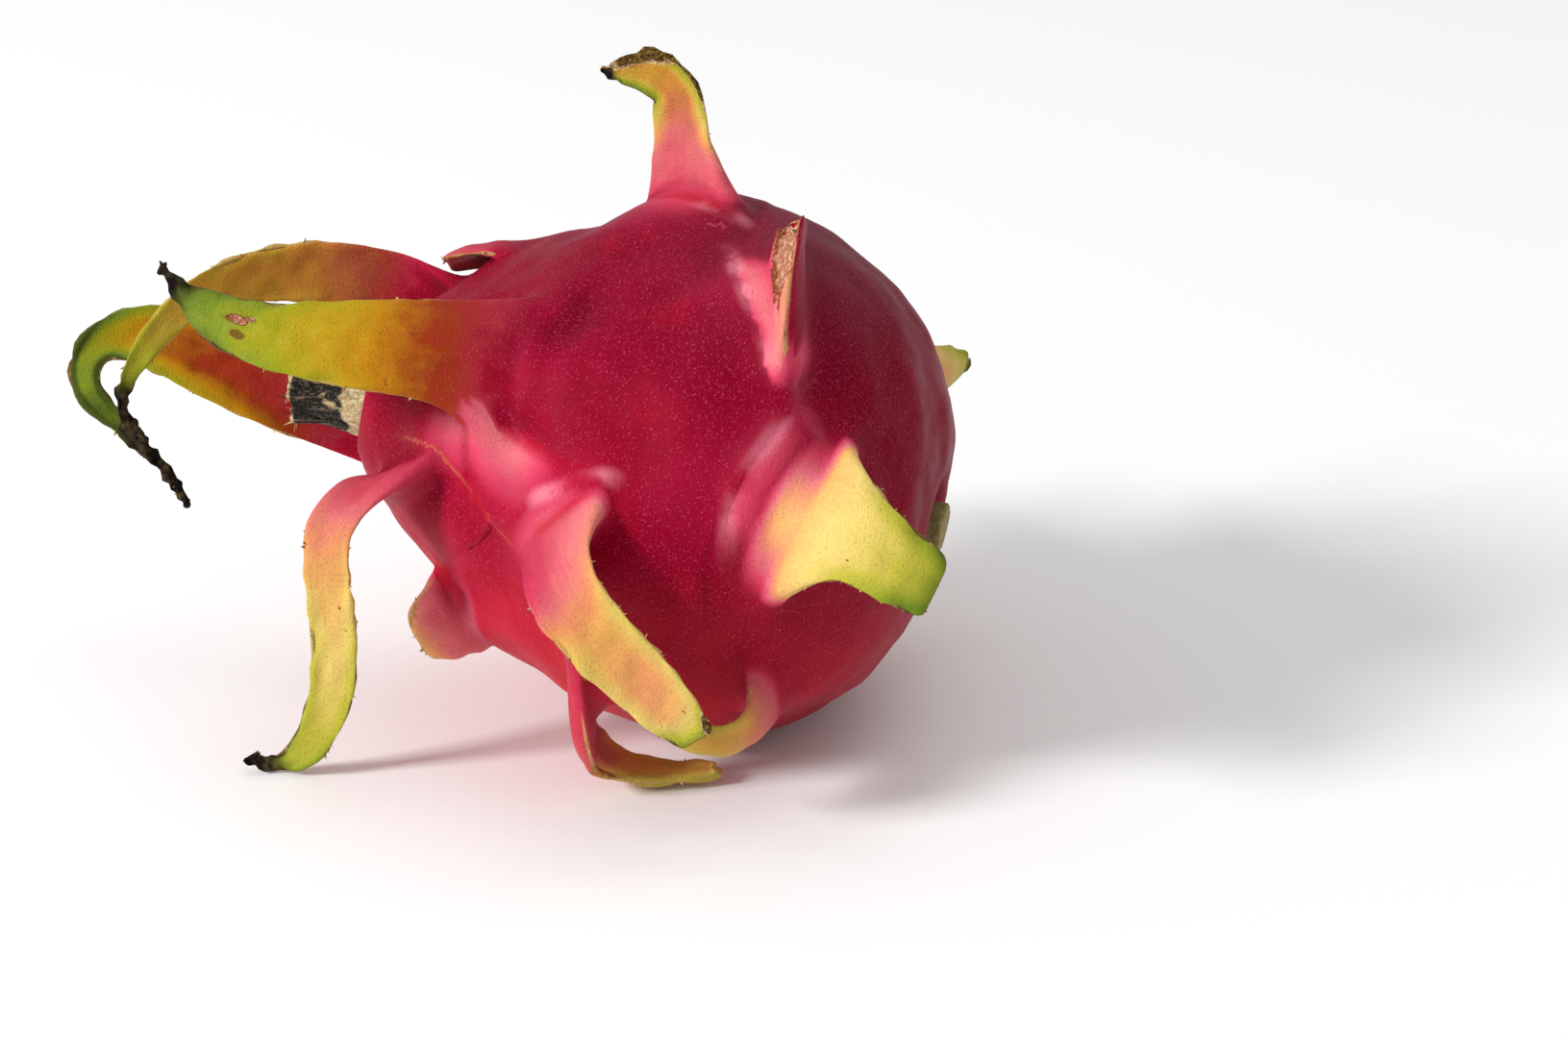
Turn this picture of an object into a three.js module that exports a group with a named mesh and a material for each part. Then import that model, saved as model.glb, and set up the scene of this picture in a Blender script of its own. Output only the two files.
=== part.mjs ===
// A ripe dragon fruit (white-fleshed pitaya), picked and lying on its side. Millimetres, +Z up.
//
// The fruit grew as one thing: its leafy bracts rise out of the skin, so the skin and all the bracts are one
// closed surface. Two pieces of other tissue are set in it: the dried foot of the flower at the nose, and the
// cut stub of the stem at the other end.
//
// A place on the skin is a station along the fruit's axis, from the stem end to the nose, and an azimuth
// round that axis, 0 towards the front and 90 upwards. The surface is a cage of four-sided faces: rings round
// the fruit, with a slot left open for each bract, out of which it is drawn. The cage is then smoothed.

import * as THREE from "three";

const radians = THREE.MathUtils.degToRad;

// ---- The whole fruit -------------------------------------------------------------------------------------

const TILT = radians(10); // the nose is held this much higher than the stem end
const FLAT_DEPTH = 1.4; // how far the belly is pressed flat where the fruit lies on it
const COLUMNS = 48; // faces round the fruit
const ROWS = 36; // faces along the skin, from the stem rim to the nose rim

// Skin without its ridges, as [station, radius], from the rim round the stem to the rim of the nose.
const SKIN = [
  [0, 11],
  [2, 20],
  [7, 29.2],
  [15, 37.2],
  [25, 42.6],
  [36, 45],
  [48, 43.2],
  [60, 38.8],
  [72, 32.6],
  [82, 26],
  [90, 20],
  [95, 16.2],
  [98.5, 13],
];
// The two hollows that the skin turns into at its ends, as [station, radius].
const STEM_HOLLOW = [
  [0.6, 8.5],
  [2.4, 6.6],
  [4.2, 5.4],
  [5, 3],
];
const NOSE_HOLLOW = [
  [98.2, 11.2],
  [96.2, 10.2],
  [94.2, 9.4],
  [93.4, 5],
];

// ---- The bracts ------------------------------------------------------------------------------------------

// Lengths in mm and angles in degrees. lean is the angle between the bract and the axis: 0 points along the
// fruit past the nose, 90 straight out of the skin, 180 back to the stem. sway turns the bract round the
// fruit, towards higher azimuths. turn is how far its root is turned out of the ring it grows in, and twist
// how far the blade turns about its own length. These lists run evenly from root to tip. cup is how far the
// edges are raised towards the nose side, as a share of the half width. ridge is how far the skin is raised
// under the root, front how far that reaches towards the nose, and axil the depth of the dip beyond.
const FRONT_BRACTS = [
  {
    name: "crown",
    station: 50, azimuth: 100, root: 25, turn: 48, length: 30.5,
    ridge: 5, front: 20, axil: 0,
    width: [20, 12, 10.5, 11, 10, 7, 3],
    lean: [57, 64, 88, 68, 8, -12, -20],
    sway: [-5, -5, -15, -8, 0, 0, 0],
    twist: [0, 15, 20, 25, 30, 30, 30],
  },
  {
    name: "shoulder",
    station: 29, azimuth: 60, root: 32, turn: 18, length: 13,
    ridge: 5, front: 12, axil: 0,
    width: [29, 20, 8],
    lean: [90, 90, 84],
    sway: [10, 35, 55],
  },
  {
    name: "middle",
    station: 18, azimuth: 15, root: 28, turn: -15, length: 26,
    ridge: 5, front: 13, axil: 0,
    width: [22, 16, 14, 11.5, 10.5],
    cup: -0.12,
    lean: [130, 142, 160, 156, 155],
    sway: [40, 5, -65, -110, -155],
  },
  {
    name: "apron",
    station: 53.5, azimuth: 1, root: 22, turn: -40, length: 43,
    ridge: 4.5, front: 11, axil: 0,
    width: [16, 14, 13, 12.3, 11.2, 6.5],
    lean: [115, 127, 146, 143, 140, 137],
    sway: [-10, -38, -78, -100, -100, -95],
  },
  {
    name: "strap",
    station: 84, azimuth: -8, root: 20, turn: -50, length: 67.5,
    width: [14, 9, 8, 8, 8, 7.5, 6, 2.5],
    lean: [70, 55, 98, 108, 96, 82, 60, -20],
    sway: [20, -22, -80, -82, -82, -76, -82, -40],
    twist: [0, -40, -60, -60, -60, -60, -60, -60],
  },
  {
    name: "lobe",
    station: 71, azimuth: -46, root: 22, turn: 20, length: 9,
    width: [18, 13, 8],
    lean: [70, 62, 45],
    sway: [36, 12, -22],
    twist: [10, 20],
  },
  {
    name: "prop",
    station: 45, azimuth: -31, root: 16, length: 37,
    width: [11.5, 11, 10.5, 7.5, 5.5, 3.4],
    lean: [87, 88, 98, 146, 170, 160, 158],
    sway: [-35, -66, -105, -85, -160, -175, -190],
    cup: -0.3, twist: [0, -20, -30, -25, -20], thickness: 4.2,
  },
  {
    name: "hook",
    station: 19, azimuth: -32, root: 18, length: 25.5,
    width: [13, 8.5, 6.5, 5.5, 3.5],
    lean: [100, 74, 30, 12, 50],
    sway: [14, 13, 20, 80, 122],
  },
  {
    name: "leaf",
    station: 69, azimuth: 38, root: 24, length: 60,
    width: [19, 17, 15.2, 11.6, 9.2, 2.5],
    lean: [33, 14, 10, 8, 13, 40],
    sway: [-30, -40, -109, -138, -280, -280],
  },
  {
    name: "arch",
    station: 89, azimuth: 145, root: 21, length: 79,
    width: [16, 13.3, 11.1, 8.8, 6, 4, 2.5],
    lean: [-2, 8, 21, 40, 60, 78, 110],
    sway: [-43, -101, -167, -166, -193, -203, -261],
    twist: [10, 30, 35, 40, 50, 60, 60],
  },
  {
    name: "trough",
    station: 90, azimuth: -145, root: 24, length: 100,
    width: [20, 17, 16.5, 16.5, 16, 12, 6.3, 5.2, 3.8, 2],
    lean: [0, 6, 12, 16, 16, 12, 70, 158, 144, 140],
    sway: [-240, -130, -170, -150, -160, -200, -275, -290, -310, -260],
  },
  {
    name: "ear",
    station: 80, azimuth: 118, root: 17, length: 13,
    ridge: 4, front: 9, axil: 0,
    width: [15, 12, 8],
    lean: [-18, -30, -34],
    thickness: 3,
  },
];

// The bracts of the other side follow one spiral. Those near the stem are short and bent back, and each one
// nearer to the nose is longer and points further forward.
const BACK_BRACT_COUNT = 8;
const BACK_STATIONS = [16, 65]; // of the first and the last of them
const BACK_AZIMUTHS = [152, 236]; // the part of the fruit they grow on
const GOLDEN_SHARE = 0.618; // each one is this share of that part further round than the one before
const BACK_LEAN = [122, 30]; // degrees, of the first and the last
const BACK_ROOT = [27, 21];
const BACK_WIDTH = [20, 16];
const BACK_LENGTH = [20, 38];
const BACK_LIFT = 35; // degrees that the lowest ones are turned away from what the fruit lies on
const scatter = seededRandom(7);
const { lerp, smoothstep } = THREE.MathUtils;
const backBracts = Array.from({ length: BACK_BRACT_COUNT }, (_, i) => {
  const share = i / (BACK_BRACT_COUNT - 1);
  const jitter = (size) => size * (scatter() - 0.5);
  const azimuth = lerp(...BACK_AZIMUTHS, ((i + 2) * GOLDEN_SHARE) % 1) + jitter(6);
  const lean = lerp(...BACK_LEAN, share) + jitter(14);
  const lift = BACK_LIFT * smoothstep(azimuth, 190, 230);
  return {
    name: "back" + i,
    station: lerp(...BACK_STATIONS, share),
    azimuth,
    root: lerp(...BACK_ROOT, share),
    length: lerp(...BACK_LENGTH, share) + jitter(6),
    width: [lerp(...BACK_WIDTH, share), 14, 12, 9, 3],
    lean: [(lean + 80) / 2, lean, lean - 5, lean - 15, lean - 30],
    sway: [-lift, jitter(20) - lift, jitter(50) - lift],
  };
});

const BRACT_DEFAULTS = {
  turn: 0, sway: [0], twist: [0], cup: 0.25, thickness: 2.2, ridge: 3.2, front: 5, axil: 1.2,
};
const bracts = [...FRONT_BRACTS, ...backBracts].map((bract) => ({ ...BRACT_DEFAULTS, ...bract }));

// A repeatable run of numbers from 0 up to 1.
function seededRandom(seed) {
  let state = seed;
  return () => {
    state = (state * 16807) % 2147483647;
    return state / 2147483647;
  };
}

// ---- The skin --------------------------------------------------------------------------------------------

const skinCurve = new THREE.SplineCurve(SKIN.map(([station, radius]) => new THREE.Vector2(station, radius)));
const SKIN_LENGTH = skinCurve.getLength();

// How far along the skin, measured over its surface from the stem rim, a station is.
function reachOfStation(station) {
  let low = 0;
  let high = 1;
  for (let step = 0; step < 24; step++) {
    const middle = (low + high) / 2;
    if (skinCurve.getPointAt(middle).x < station) low = middle;
    else high = middle;
  }
  return low * SKIN_LENGTH;
}

const radiusAt = (reach) => skinCurve.getPointAt(THREE.MathUtils.clamp(reach / SKIN_LENGTH, 0, 1)).y;

// An angle brought to between minus and plus half a turn.
const nearest = (angle) => angle - 2 * Math.PI * Math.round(angle / (2 * Math.PI));

// Each bract's root, and the slot of the grid that it takes: span faces of one row.
const COLUMN_ANGLE = (2 * Math.PI) / COLUMNS;
const ROW_HEIGHT = SKIN_LENGTH / ROWS;
for (const bract of bracts) {
  bract.reach = reachOfStation(bract.station);
  bract.angle = radians(bract.azimuth);
  bract.turning = radians(bract.turn);
  bract.radius = radiusAt(bract.reach);
  bract.row = Math.round(bract.reach / ROW_HEIGHT - 0.5);
  bract.span = Math.max(4, Math.round(bract.root / (bract.radius * COLUMN_ANGLE)));
  bract.column = Math.round(bract.angle / COLUMN_ANGLE - bract.span / 2);
}

// The skin's height over its plain shape: each bract stands on a ridge that runs back towards the stem, and
// has a dip in front of it, in its axil.
const RIDGE_BREADTH = 0.42; // half its breadth at the root, as a share of the root's width
const RIDGE_WIDENING = 0.3; // how fast it grows broader towards the stem
const RIDGE_LENGTH = 17; // towards the stem
const AXIL_PLACE = 6; // this far in front of the root
const AXIL_LENGTH = 4;
const PLAIN_AT_STEM = 0.1; // the skin is plain at its two rims: these are shares of its length
const PLAIN_AT_NOSE = 0.93;

const bell = (x) => Math.exp(-x * x);

function relief(reach, angle) {
  const radius = radiusAt(reach);
  let height = 0;
  for (const bract of bracts) {
    const [across, along] = rootPlace(bract, reach, angle, radius);
    const breadth = RIDGE_BREADTH * bract.root + RIDGE_WIDENING * Math.max(0, -along);
    const ridge = bract.ridge * bell(along / (along < 0 ? RIDGE_LENGTH : bract.front));
    const axil = bract.axil * bell((along - AXIL_PLACE) / AXIL_LENGTH);
    height += bell(across / breadth) * (ridge - axil);
  }
  return height;
}

// A place on the skin seen from a bract's root: across the root, and along the skin towards the nose, in mm.
function rootPlace(bract, reach, angle, radius) {
  const x = nearest(angle - bract.angle) * radius;
  const y = reach - bract.reach;
  const cos = Math.cos(bract.turning);
  const sin = Math.sin(bract.turning);
  return [x * cos + y * sin, y * cos - x * sin];
}

function skinPoint(reach, angle) {
  const share = THREE.MathUtils.clamp(reach / SKIN_LENGTH, 0, 1);
  const place = skinCurve.getPointAt(share);
  const tangent = skinCurve.getTangentAt(share);
  const fade = smoothstep(share, 0, PLAIN_AT_STEM) * (1 - smoothstep(share, PLAIN_AT_NOSE, 1));
  const height = relief(reach, angle) * fade;
  return onRing(place.x - tangent.y * height, place.y + tangent.x * height, angle);
}

const onRing = (station, radius, angle) =>
  new THREE.Vector3(station, radius * Math.cos(angle), radius * Math.sin(angle));

// Draws the grid near each root onto that root, so that the slot has the root's place, width and turn.
const ROOT_THICKNESS = 4.5;
const PULL_LENGTH = 5; // how far along the skin the grid is drawn fully
const PULL_LENGTH_TURNED = 10; // added to that for a root turned right out of its ring
const PULL_END = 2.3; // as a multiple of the above, where the drawing ends

function settle(reach, angle) {
  let total = 0;
  let pullReach = 0;
  let pullAcross = 0;
  for (const bract of bracts) {
    const slotAngle = (bract.column + bract.span / 2) * COLUMN_ANGLE;
    const slotReach = (bract.row + 0.5) * ROW_HEIGHT;
    const across = nearest(angle - slotAngle) * bract.radius;
    const along = reach - slotReach;
    const halfSpan = (bract.span / 2) * COLUMN_ANGLE * bract.radius;
    const pullLength = PULL_LENGTH + PULL_LENGTH_TURNED * Math.abs(Math.sin(bract.turning));
    const distance = Math.hypot(across / halfSpan, along / pullLength);
    const weight = 1 - smoothstep(distance, 1, PULL_END);
    if (weight === 0) continue;
    const wide = (across * bract.root) / (2 * halfSpan);
    const tall = (along * ROOT_THICKNESS) / ROW_HEIGHT;
    const cos = Math.cos(bract.turning);
    const sin = Math.sin(bract.turning);
    const targetAcross = wide * cos - tall * sin + nearest(bract.angle - slotAngle) * bract.radius;
    const targetAlong = wide * sin + tall * cos + bract.reach - slotReach;
    total += weight;
    pullAcross += (weight * (targetAcross - across)) / bract.radius;
    pullReach += weight * (targetAlong - along);
  }
  const share = 1 / Math.max(1, total);
  return [reach + pullReach * share, angle + pullAcross * share];
}

// ---- The cage --------------------------------------------------------------------------------------------

const cage = { points: [], faces: [] };

function addPoint(point) {
  cage.points.push(point);
  return cage.points.length - 1;
}

function addRing(makePoint) {
  const ring = [];
  for (let column = 0; column < COLUMNS; column++) ring.push(addPoint(makePoint(column * COLUMN_ANGLE)));
  return ring;
}

const taken = new Set();
for (const bract of bracts)
  for (let i = 0; i < bract.span; i++) {
    const key = bract.row * COLUMNS + THREE.MathUtils.euclideanModulo(bract.column + i, COLUMNS);
    if (taken.has(key)) throw new Error(bract.name + " grows out of the same faces as another bract");
    taken.add(key);
  }

const plainRing = ([station, radius]) => addRing((angle) => onRing(station, radius, angle));
const stemRings = STEM_HOLLOW.toReversed().map(plainRing);
const skinRings = Array.from({ length: ROWS + 1 }, (_, row) => {
  const isRim = row === 0 || row === ROWS;
  const reach = row * ROW_HEIGHT;
  return addRing((angle) => (isRim ? skinPoint(reach, angle) : skinPoint(...settle(reach, angle))));
});
const noseRings = NOSE_HOLLOW.map(plainRing);

function joinRings(near, far, isOpen = () => false) {
  for (let column = 0; column < COLUMNS; column++) {
    if (isOpen(column)) continue;
    const next = (column + 1) % COLUMNS;
    cage.faces.push([near[column], near[next], far[next], far[column]]);
  }
}

function closeRing(ring, station, outward) {
  const centre = addPoint(new THREE.Vector3(station, 0, 0));
  for (let column = 0; column < COLUMNS; column++) {
    const next = (column + 1) % COLUMNS;
    cage.faces.push(outward ? [ring[column], ring[next], centre] : [ring[next], ring[column], centre]);
  }
}

closeRing(stemRings[0], STEM_HOLLOW.at(-1)[0], false);
const rings = [...stemRings, ...skinRings, ...noseRings];
for (let i = 0; i + 1 < rings.length; i++) {
  const row = i - stemRings.length;
  joinRings(rings[i], rings[i + 1], (column) => row >= 0 && row < ROWS && taken.has(row * COLUMNS + column));
}
closeRing(noseRings.at(-1), NOSE_HOLLOW.at(-1)[0], true);

// ---- Drawing the bracts out ------------------------------------------------------------------------------

// The value at a share of the way through a list of evenly spaced ones.
function along(values, share) {
  const place = share * (values.length - 1);
  const index = Math.min(Math.floor(place), values.length - 2);
  return values.length === 1 ? values[0] : lerp(values[index], values[index + 1], place - index);
}

const AXIS = new THREE.Vector3(1, 0, 0);
const SPINE_STEPS = 60;
const SECTION_LENGTH = 5.2; // between two sections of a bract, at most

// The line a bract grows along, as places, each with the direction of its width and of its nose side.
function spineOf(bract) {
  const outward = onRing(0, 1, bract.angle);
  const round = new THREE.Vector3().crossVectors(AXIS, outward);
  const heading = (share) => {
    const lean = radians(along(bract.lean, share));
    const sway = radians(along(bract.sway, share));
    return new THREE.Vector3()
      .addScaledVector(AXIS, Math.cos(lean))
      .addScaledVector(outward, Math.sin(lean) * Math.cos(sway))
      .addScaledVector(round, Math.sin(lean) * Math.sin(sway));
  };
  const place = skinPoint(bract.reach, bract.angle);
  const behind = skinPoint(bract.reach - 1, bract.angle);
  const uphill = skinPoint(bract.reach + 1, bract.angle).sub(behind).normalize();
  let direction = heading(0);
  const width = new THREE.Vector3()
    .addScaledVector(round, Math.cos(bract.turning))
    .addScaledVector(uphill, Math.sin(bract.turning));
  const spine = [];
  for (let step = 0; step <= SPINE_STEPS; step++) {
    const share = step / SPINE_STEPS;
    const next = heading(share);
    width.applyQuaternion(new THREE.Quaternion().setFromUnitVectors(direction, next));
    direction = next;
    width.addScaledVector(direction, -width.dot(direction)).normalize();
    const turned = width.clone().applyAxisAngle(direction, radians(along(bract.twist, share)));
    const face = new THREE.Vector3().crossVectors(direction, turned);
    spine.push({ place: place.clone(), width: turned, face });
    place.addScaledVector(direction, bract.length / SPINE_STEPS);
  }
  return spine;
}

const ROOT_CHANGE = 9; // a bract takes this length to change from its root to its blade
const EDGE_THINNING = 0.6; // how much of its thickness it loses at its edges
const TIP_THINNING = 0.3; // and at its tip

for (const bract of bracts) {
  const spine = spineOf(bract);
  const near = skinRings[bract.row];
  const far = skinRings[bract.row + 1];
  const columns = Array.from({ length: bract.span + 1 }, (_, i) =>
    THREE.MathUtils.euclideanModulo(bract.column + i, COLUMNS),
  );
  let outer = columns.map((column) => near[column]); // towards the stem
  let inner = columns.map((column) => far[column]); // towards the nose
  const rootOuter = outer.map((index) => cage.points[index].clone());
  const rootInner = inner.map((index) => cage.points[index].clone());
  const sections = Math.max(3, Math.ceil(bract.length / SECTION_LENGTH));
  for (let section = 1; section <= sections; section++) {
    const share = section / sections;
    const { place, width, face } = spine[Math.round(share * SPINE_STEPS)];
    const blade = smoothstep(share * bract.length, 0, ROOT_CHANGE);
    const half = along(bract.width, share) / 2;
    const offset = place.clone().sub(spine[0].place);
    const middleThickness = bract.thickness * (1 - TIP_THINNING * share * share);
    const row = (rootRow, side) =>
      rootRow.map((rootPoint, i) => {
        const across = (2 * i) / bract.span - 1;
        const thickness = middleThickness * (1 - EDGE_THINNING * across * across);
        const rise = bract.cup * half * across * across + (side * thickness) / 2;
        const bladePoint = place.clone().addScaledVector(width, across * half).addScaledVector(face, rise);
        return addPoint(rootPoint.clone().add(offset).lerp(bladePoint, blade));
      });
    const nextOuter = row(rootOuter, -1);
    const nextInner = row(rootInner, 1);
    for (let i = 0; i < bract.span; i++) {
      cage.faces.push([outer[i], outer[i + 1], nextOuter[i + 1], nextOuter[i]]);
      cage.faces.push([inner[i + 1], inner[i], nextInner[i], nextInner[i + 1]]);
    }
    cage.faces.push([inner[0], outer[0], nextOuter[0], nextInner[0]]);
    cage.faces.push([outer.at(-1), inner.at(-1), nextInner.at(-1), nextOuter.at(-1)]);
    outer = nextOuter;
    inner = nextInner;
  }
  for (let i = 0; i < bract.span; i++) cage.faces.push([outer[i], outer[i + 1], inner[i + 1], inner[i]]);
}

// ---- Smoothing -------------------------------------------------------------------------------------------

// Where each point of the cage comes to lie on the smooth surface that Catmull-Clark subdivision makes of it.
function smoothPoints({ points, faces }) {
  const centres = faces.map((face) =>
    face.reduce((sum, index) => sum.add(points[index]), new THREE.Vector3()).divideScalar(face.length),
  );
  const edges = new Map();
  const around = points.map(() => ({ faces: [], edges: [] }));
  faces.forEach((face, f) => {
    face.forEach((start, i) => {
      const end = face[(i + 1) % face.length];
      const key = Math.min(start, end) + "-" + Math.max(start, end);
      if (!edges.has(key)) {
        edges.set(key, { ends: [start, end], centres: [] });
        around[start].edges.push(key);
        around[end].edges.push(key);
      }
      edges.get(key).centres.push(centres[f]);
      around[start].faces.push(centres[f]);
    });
  });
  for (const edge of edges.values()) {
    edge.middle = points[edge.ends[0]].clone().add(points[edge.ends[1]]).divideScalar(2);
    edge.point = edge.centres
      .reduce((sum, centre) => sum.add(centre), edge.middle.clone().multiplyScalar(2))
      .divideScalar(4);
  }
  const mean = (vectors) =>
    vectors.reduce((sum, vector) => sum.add(vector), new THREE.Vector3()).divideScalar(vectors.length);
  return points.map((point, p) => {
    const n = around[p].edges.length;
    const nearEdges = around[p].edges.map((key) => edges.get(key));
    const moved = mean(around[p].faces)
      .add(mean(nearEdges.map((edge) => edge.middle)).multiplyScalar(2))
      .addScaledVector(point, n - 3)
      .divideScalar(n);
    return moved
      .multiplyScalar(n * n)
      .addScaledVector(mean(nearEdges.map((edge) => edge.point)), 4 * n)
      .addScaledVector(mean(around[p].faces), n)
      .divideScalar(n * (n + 5));
  });
}

// ---- The fruit, laid down --------------------------------------------------------------------------------

const up = new THREE.Vector3(Math.sin(TILT), 0, Math.cos(TILT)); // the world's up, in the fruit's frame
const skin = smoothPoints(cage);
const bodyPointCount = rings.length * COLUMNS;
const lowest = Math.min(...skin.slice(0, bodyPointCount).map((point) => point.dot(up)));
const floor = lowest + FLAT_DEPTH;
for (const point of skin.slice(0, bodyPointCount)) {
  const below = floor - point.dot(up);
  if (below > 0) point.addScaledVector(up, below);
}

const fruitGeometry = new THREE.BufferGeometry().setFromPoints(skin);
fruitGeometry.setIndex(
  cage.faces.flatMap(([a, b, c, d]) => (d === undefined ? [a, b, c] : [a, b, c, a, c, d])),
);
fruitGeometry.computeVertexNormals();

const skinMaterial = new THREE.MeshStandardMaterial({ color: 0xa8163f, roughness: 0.45, metalness: 0 });
const fruit = new THREE.Mesh(fruitGeometry, skinMaterial);
fruit.name = "fruit";

// ---- The dried foot of the flower, and the cut stem ------------------------------------------------------

// Turned round the fruit's axis, as [radius, station], from the end in the hollow to the end outside.
const FLOWER_FOOT = [
  [0, 94.3],
  [7, 94.3],
  [7.5, 97],
  [7.5, 102],
  [7.2, 107],
  [8.1, 112],
  [7.6, 113],
  [6, 111],
  [3.5, 109],
  [0, 108.5],
];
const STEM_END = [
  [0, -1.8],
  [3.6, -1.8],
  [4.5, -1],
  [4.2, 1.2],
  [3.8, 3.9],
  [0, 3.9],
];
const STUB_SIDES = 30;

// Withered tissue shrinks into folds: foldDepth is their share of the radius. The flower's foot is also torn
// off unevenly, more so the further out it is than tornFrom.
function makeStub(profile, { folds, foldDepth, tearing, tornFrom }) {
  const points = profile.map(([radius, station]) => new THREE.Vector2(radius, station));
  const geometry = new THREE.LatheGeometry(points, STUB_SIDES);
  const position = geometry.attributes.position;
  const place = new THREE.Vector3();
  for (let i = 0; i < position.count; i++) {
    place.fromBufferAttribute(position, i);
    const angle = Math.atan2(place.x, place.z);
    const fold = Math.sin(folds * angle) + 0.5 * Math.sin((folds + 4) * angle + 1);
    const torn = Math.sin(3 * angle) + 0.6 * Math.sin(7 * angle + 2);
    place.x *= 1 + foldDepth * fold;
    place.z *= 1 + foldDepth * fold;
    place.y += tearing * torn * Math.max(0, place.y - tornFrom);
    position.setXYZ(i, place.x, place.y, place.z);
  }
  geometry.rotateZ(-Math.PI / 2);
  geometry.computeVertexNormals();
  return geometry;
}

const footShape = { folds: 6, foldDepth: 0.035, tearing: 0.25, tornFrom: 108.6 };
const footMaterial = new THREE.MeshStandardMaterial({ color: 0xb9a684, roughness: 0.9, metalness: 0 });
const flowerStub = new THREE.Mesh(makeStub(FLOWER_FOOT, footShape), footMaterial);
flowerStub.name = "flower_stub";

const stemShape = { folds: 3, foldDepth: 0.05, tearing: 0, tornFrom: 0 };
const stemMaterial = new THREE.MeshStandardMaterial({ color: 0x7d7447, roughness: 0.85, metalness: 0 });
const stemStub = new THREE.Mesh(makeStub(STEM_END, stemShape), stemMaterial);
stemStub.name = "stem_stub";

// ---- Standing in the world -------------------------------------------------------------------------------

const dragonFruit = new THREE.Group();
dragonFruit.add(fruit, flowerStub, stemStub);
dragonFruit.rotation.set(0, TILT, Math.PI, "YZX");

const box = new THREE.Box3().setFromObject(dragonFruit, true);
const middle = box.getCenter(new THREE.Vector3());
dragonFruit.position.set(-middle.x, -middle.y, -box.min.z);

export default dragonFruit;
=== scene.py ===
"""A ripe dragon fruit lying on its side. Metres, +Z up, the fruit's nose towards -X."""

from math import acos, ceil, cos, floor, pi, radians, sin, sqrt

import bpy
import numpy as np
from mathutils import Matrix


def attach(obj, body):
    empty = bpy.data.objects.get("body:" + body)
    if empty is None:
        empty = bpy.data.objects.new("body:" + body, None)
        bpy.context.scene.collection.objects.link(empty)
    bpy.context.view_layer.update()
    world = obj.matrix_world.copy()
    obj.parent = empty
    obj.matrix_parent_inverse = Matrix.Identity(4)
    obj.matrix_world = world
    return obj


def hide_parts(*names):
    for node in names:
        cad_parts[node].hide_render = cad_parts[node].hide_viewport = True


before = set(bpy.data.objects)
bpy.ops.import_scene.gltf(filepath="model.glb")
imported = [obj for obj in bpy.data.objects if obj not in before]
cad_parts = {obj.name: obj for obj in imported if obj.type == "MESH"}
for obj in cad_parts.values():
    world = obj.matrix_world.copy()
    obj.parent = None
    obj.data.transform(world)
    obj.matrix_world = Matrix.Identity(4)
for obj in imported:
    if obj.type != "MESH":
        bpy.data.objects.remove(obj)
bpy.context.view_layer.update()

# ---- The fruit: skin and bracts --------------------------------------------------------------------------
# The fruit and its leafy bracts grew as one thing under one waxy skin, crimson over the fruit and turning
# through pink and yellow to green along each bract. Bract edges dry to a thin pale line, and the oldest tips
# are withered black.

# A place on the skin is a station along the fruit's axis, from the stem end to the nose, and an azimuth round
# it, 0 towards the front and 90 upwards. Sizes here are in millimetres.
MM = 0.001
TILT = radians(10)  # the nose is held this much higher than the stem end
SEAT = np.array([73.939, -7.281, 36.757])  # the middle of the stem's rim
# Towards the nose, to the front and up.
AXES = np.array([[-cos(TILT), 0, sin(TILT)], [0, -1, 0], [sin(TILT), 0, cos(TILT)]])
COLUMNS = 48
ROWS = 36
COLUMN_ANGLE = 2 * pi / COLUMNS

# Skin without its ridges, and the hollows at its two ends, as [station, radius].
SKIN = [
    [0, 11], [2, 20], [7, 29.2], [15, 37.2], [25, 42.6], [36, 45], [48, 43.2], [60, 38.8], [72, 32.6],
    [82, 26], [90, 20], [95, 16.2], [98.5, 13],
]
STEM_HOLLOW = [[5, 3], [4.2, 5.4], [2.4, 6.6], [0.6, 8.5]]
NOSE_HOLLOW = [[98.2, 11.2], [96.2, 10.2], [94.2, 9.4], [93.4, 5]]


def mix(a, b, share):
    return a + (b - a) * share


def smooth(value, low, high):
    """0 below low, 1 above high, and a smooth rise between them."""
    share = np.clip((value - low) / (high - low), 0, 1)
    return share * share * (3 - 2 * share)


def fade(value, low, high):
    """1 below low, 0 above high, and a smooth fall between them."""
    return 1 - smooth(value, low, high)


def bell(x):
    return np.exp(-x * x)


def rounded(number):
    return floor(number + 0.5)


def nearest(angle):
    """An angle brought to between minus and plus half a turn."""
    return angle - 2 * pi * np.round(angle / (2 * pi))


def along_list(values, share):
    """The value at a share of the way through a list of evenly spaced ones."""
    if len(values) == 1:
        return values[0] + 0 * share
    return np.interp(share, np.linspace(0, 1, len(values)), values)


def smooth_line(points, steps=200):
    """The smooth line through the points: its length so far, and its places."""
    p = np.array([points[0], *points, points[-1]], float)
    t = np.linspace(0, 1, steps, endpoint=False)[:, None]
    spans = []
    for a, b, c, d in zip(p, p[1:], p[2:], p[3:]):
        start, end = (c - a) / 2, (d - b) / 2
        cubic, square = 2 * b - 2 * c + start + end, 3 * c - 3 * b - 2 * start - end
        spans.append(cubic * t**3 + square * t**2 + start * t + b)
    line = np.concatenate([*spans, p[-1:]])
    return np.insert(np.cumsum(np.linalg.norm(np.diff(line, axis=0), axis=1)), 0, 0), line


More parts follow.
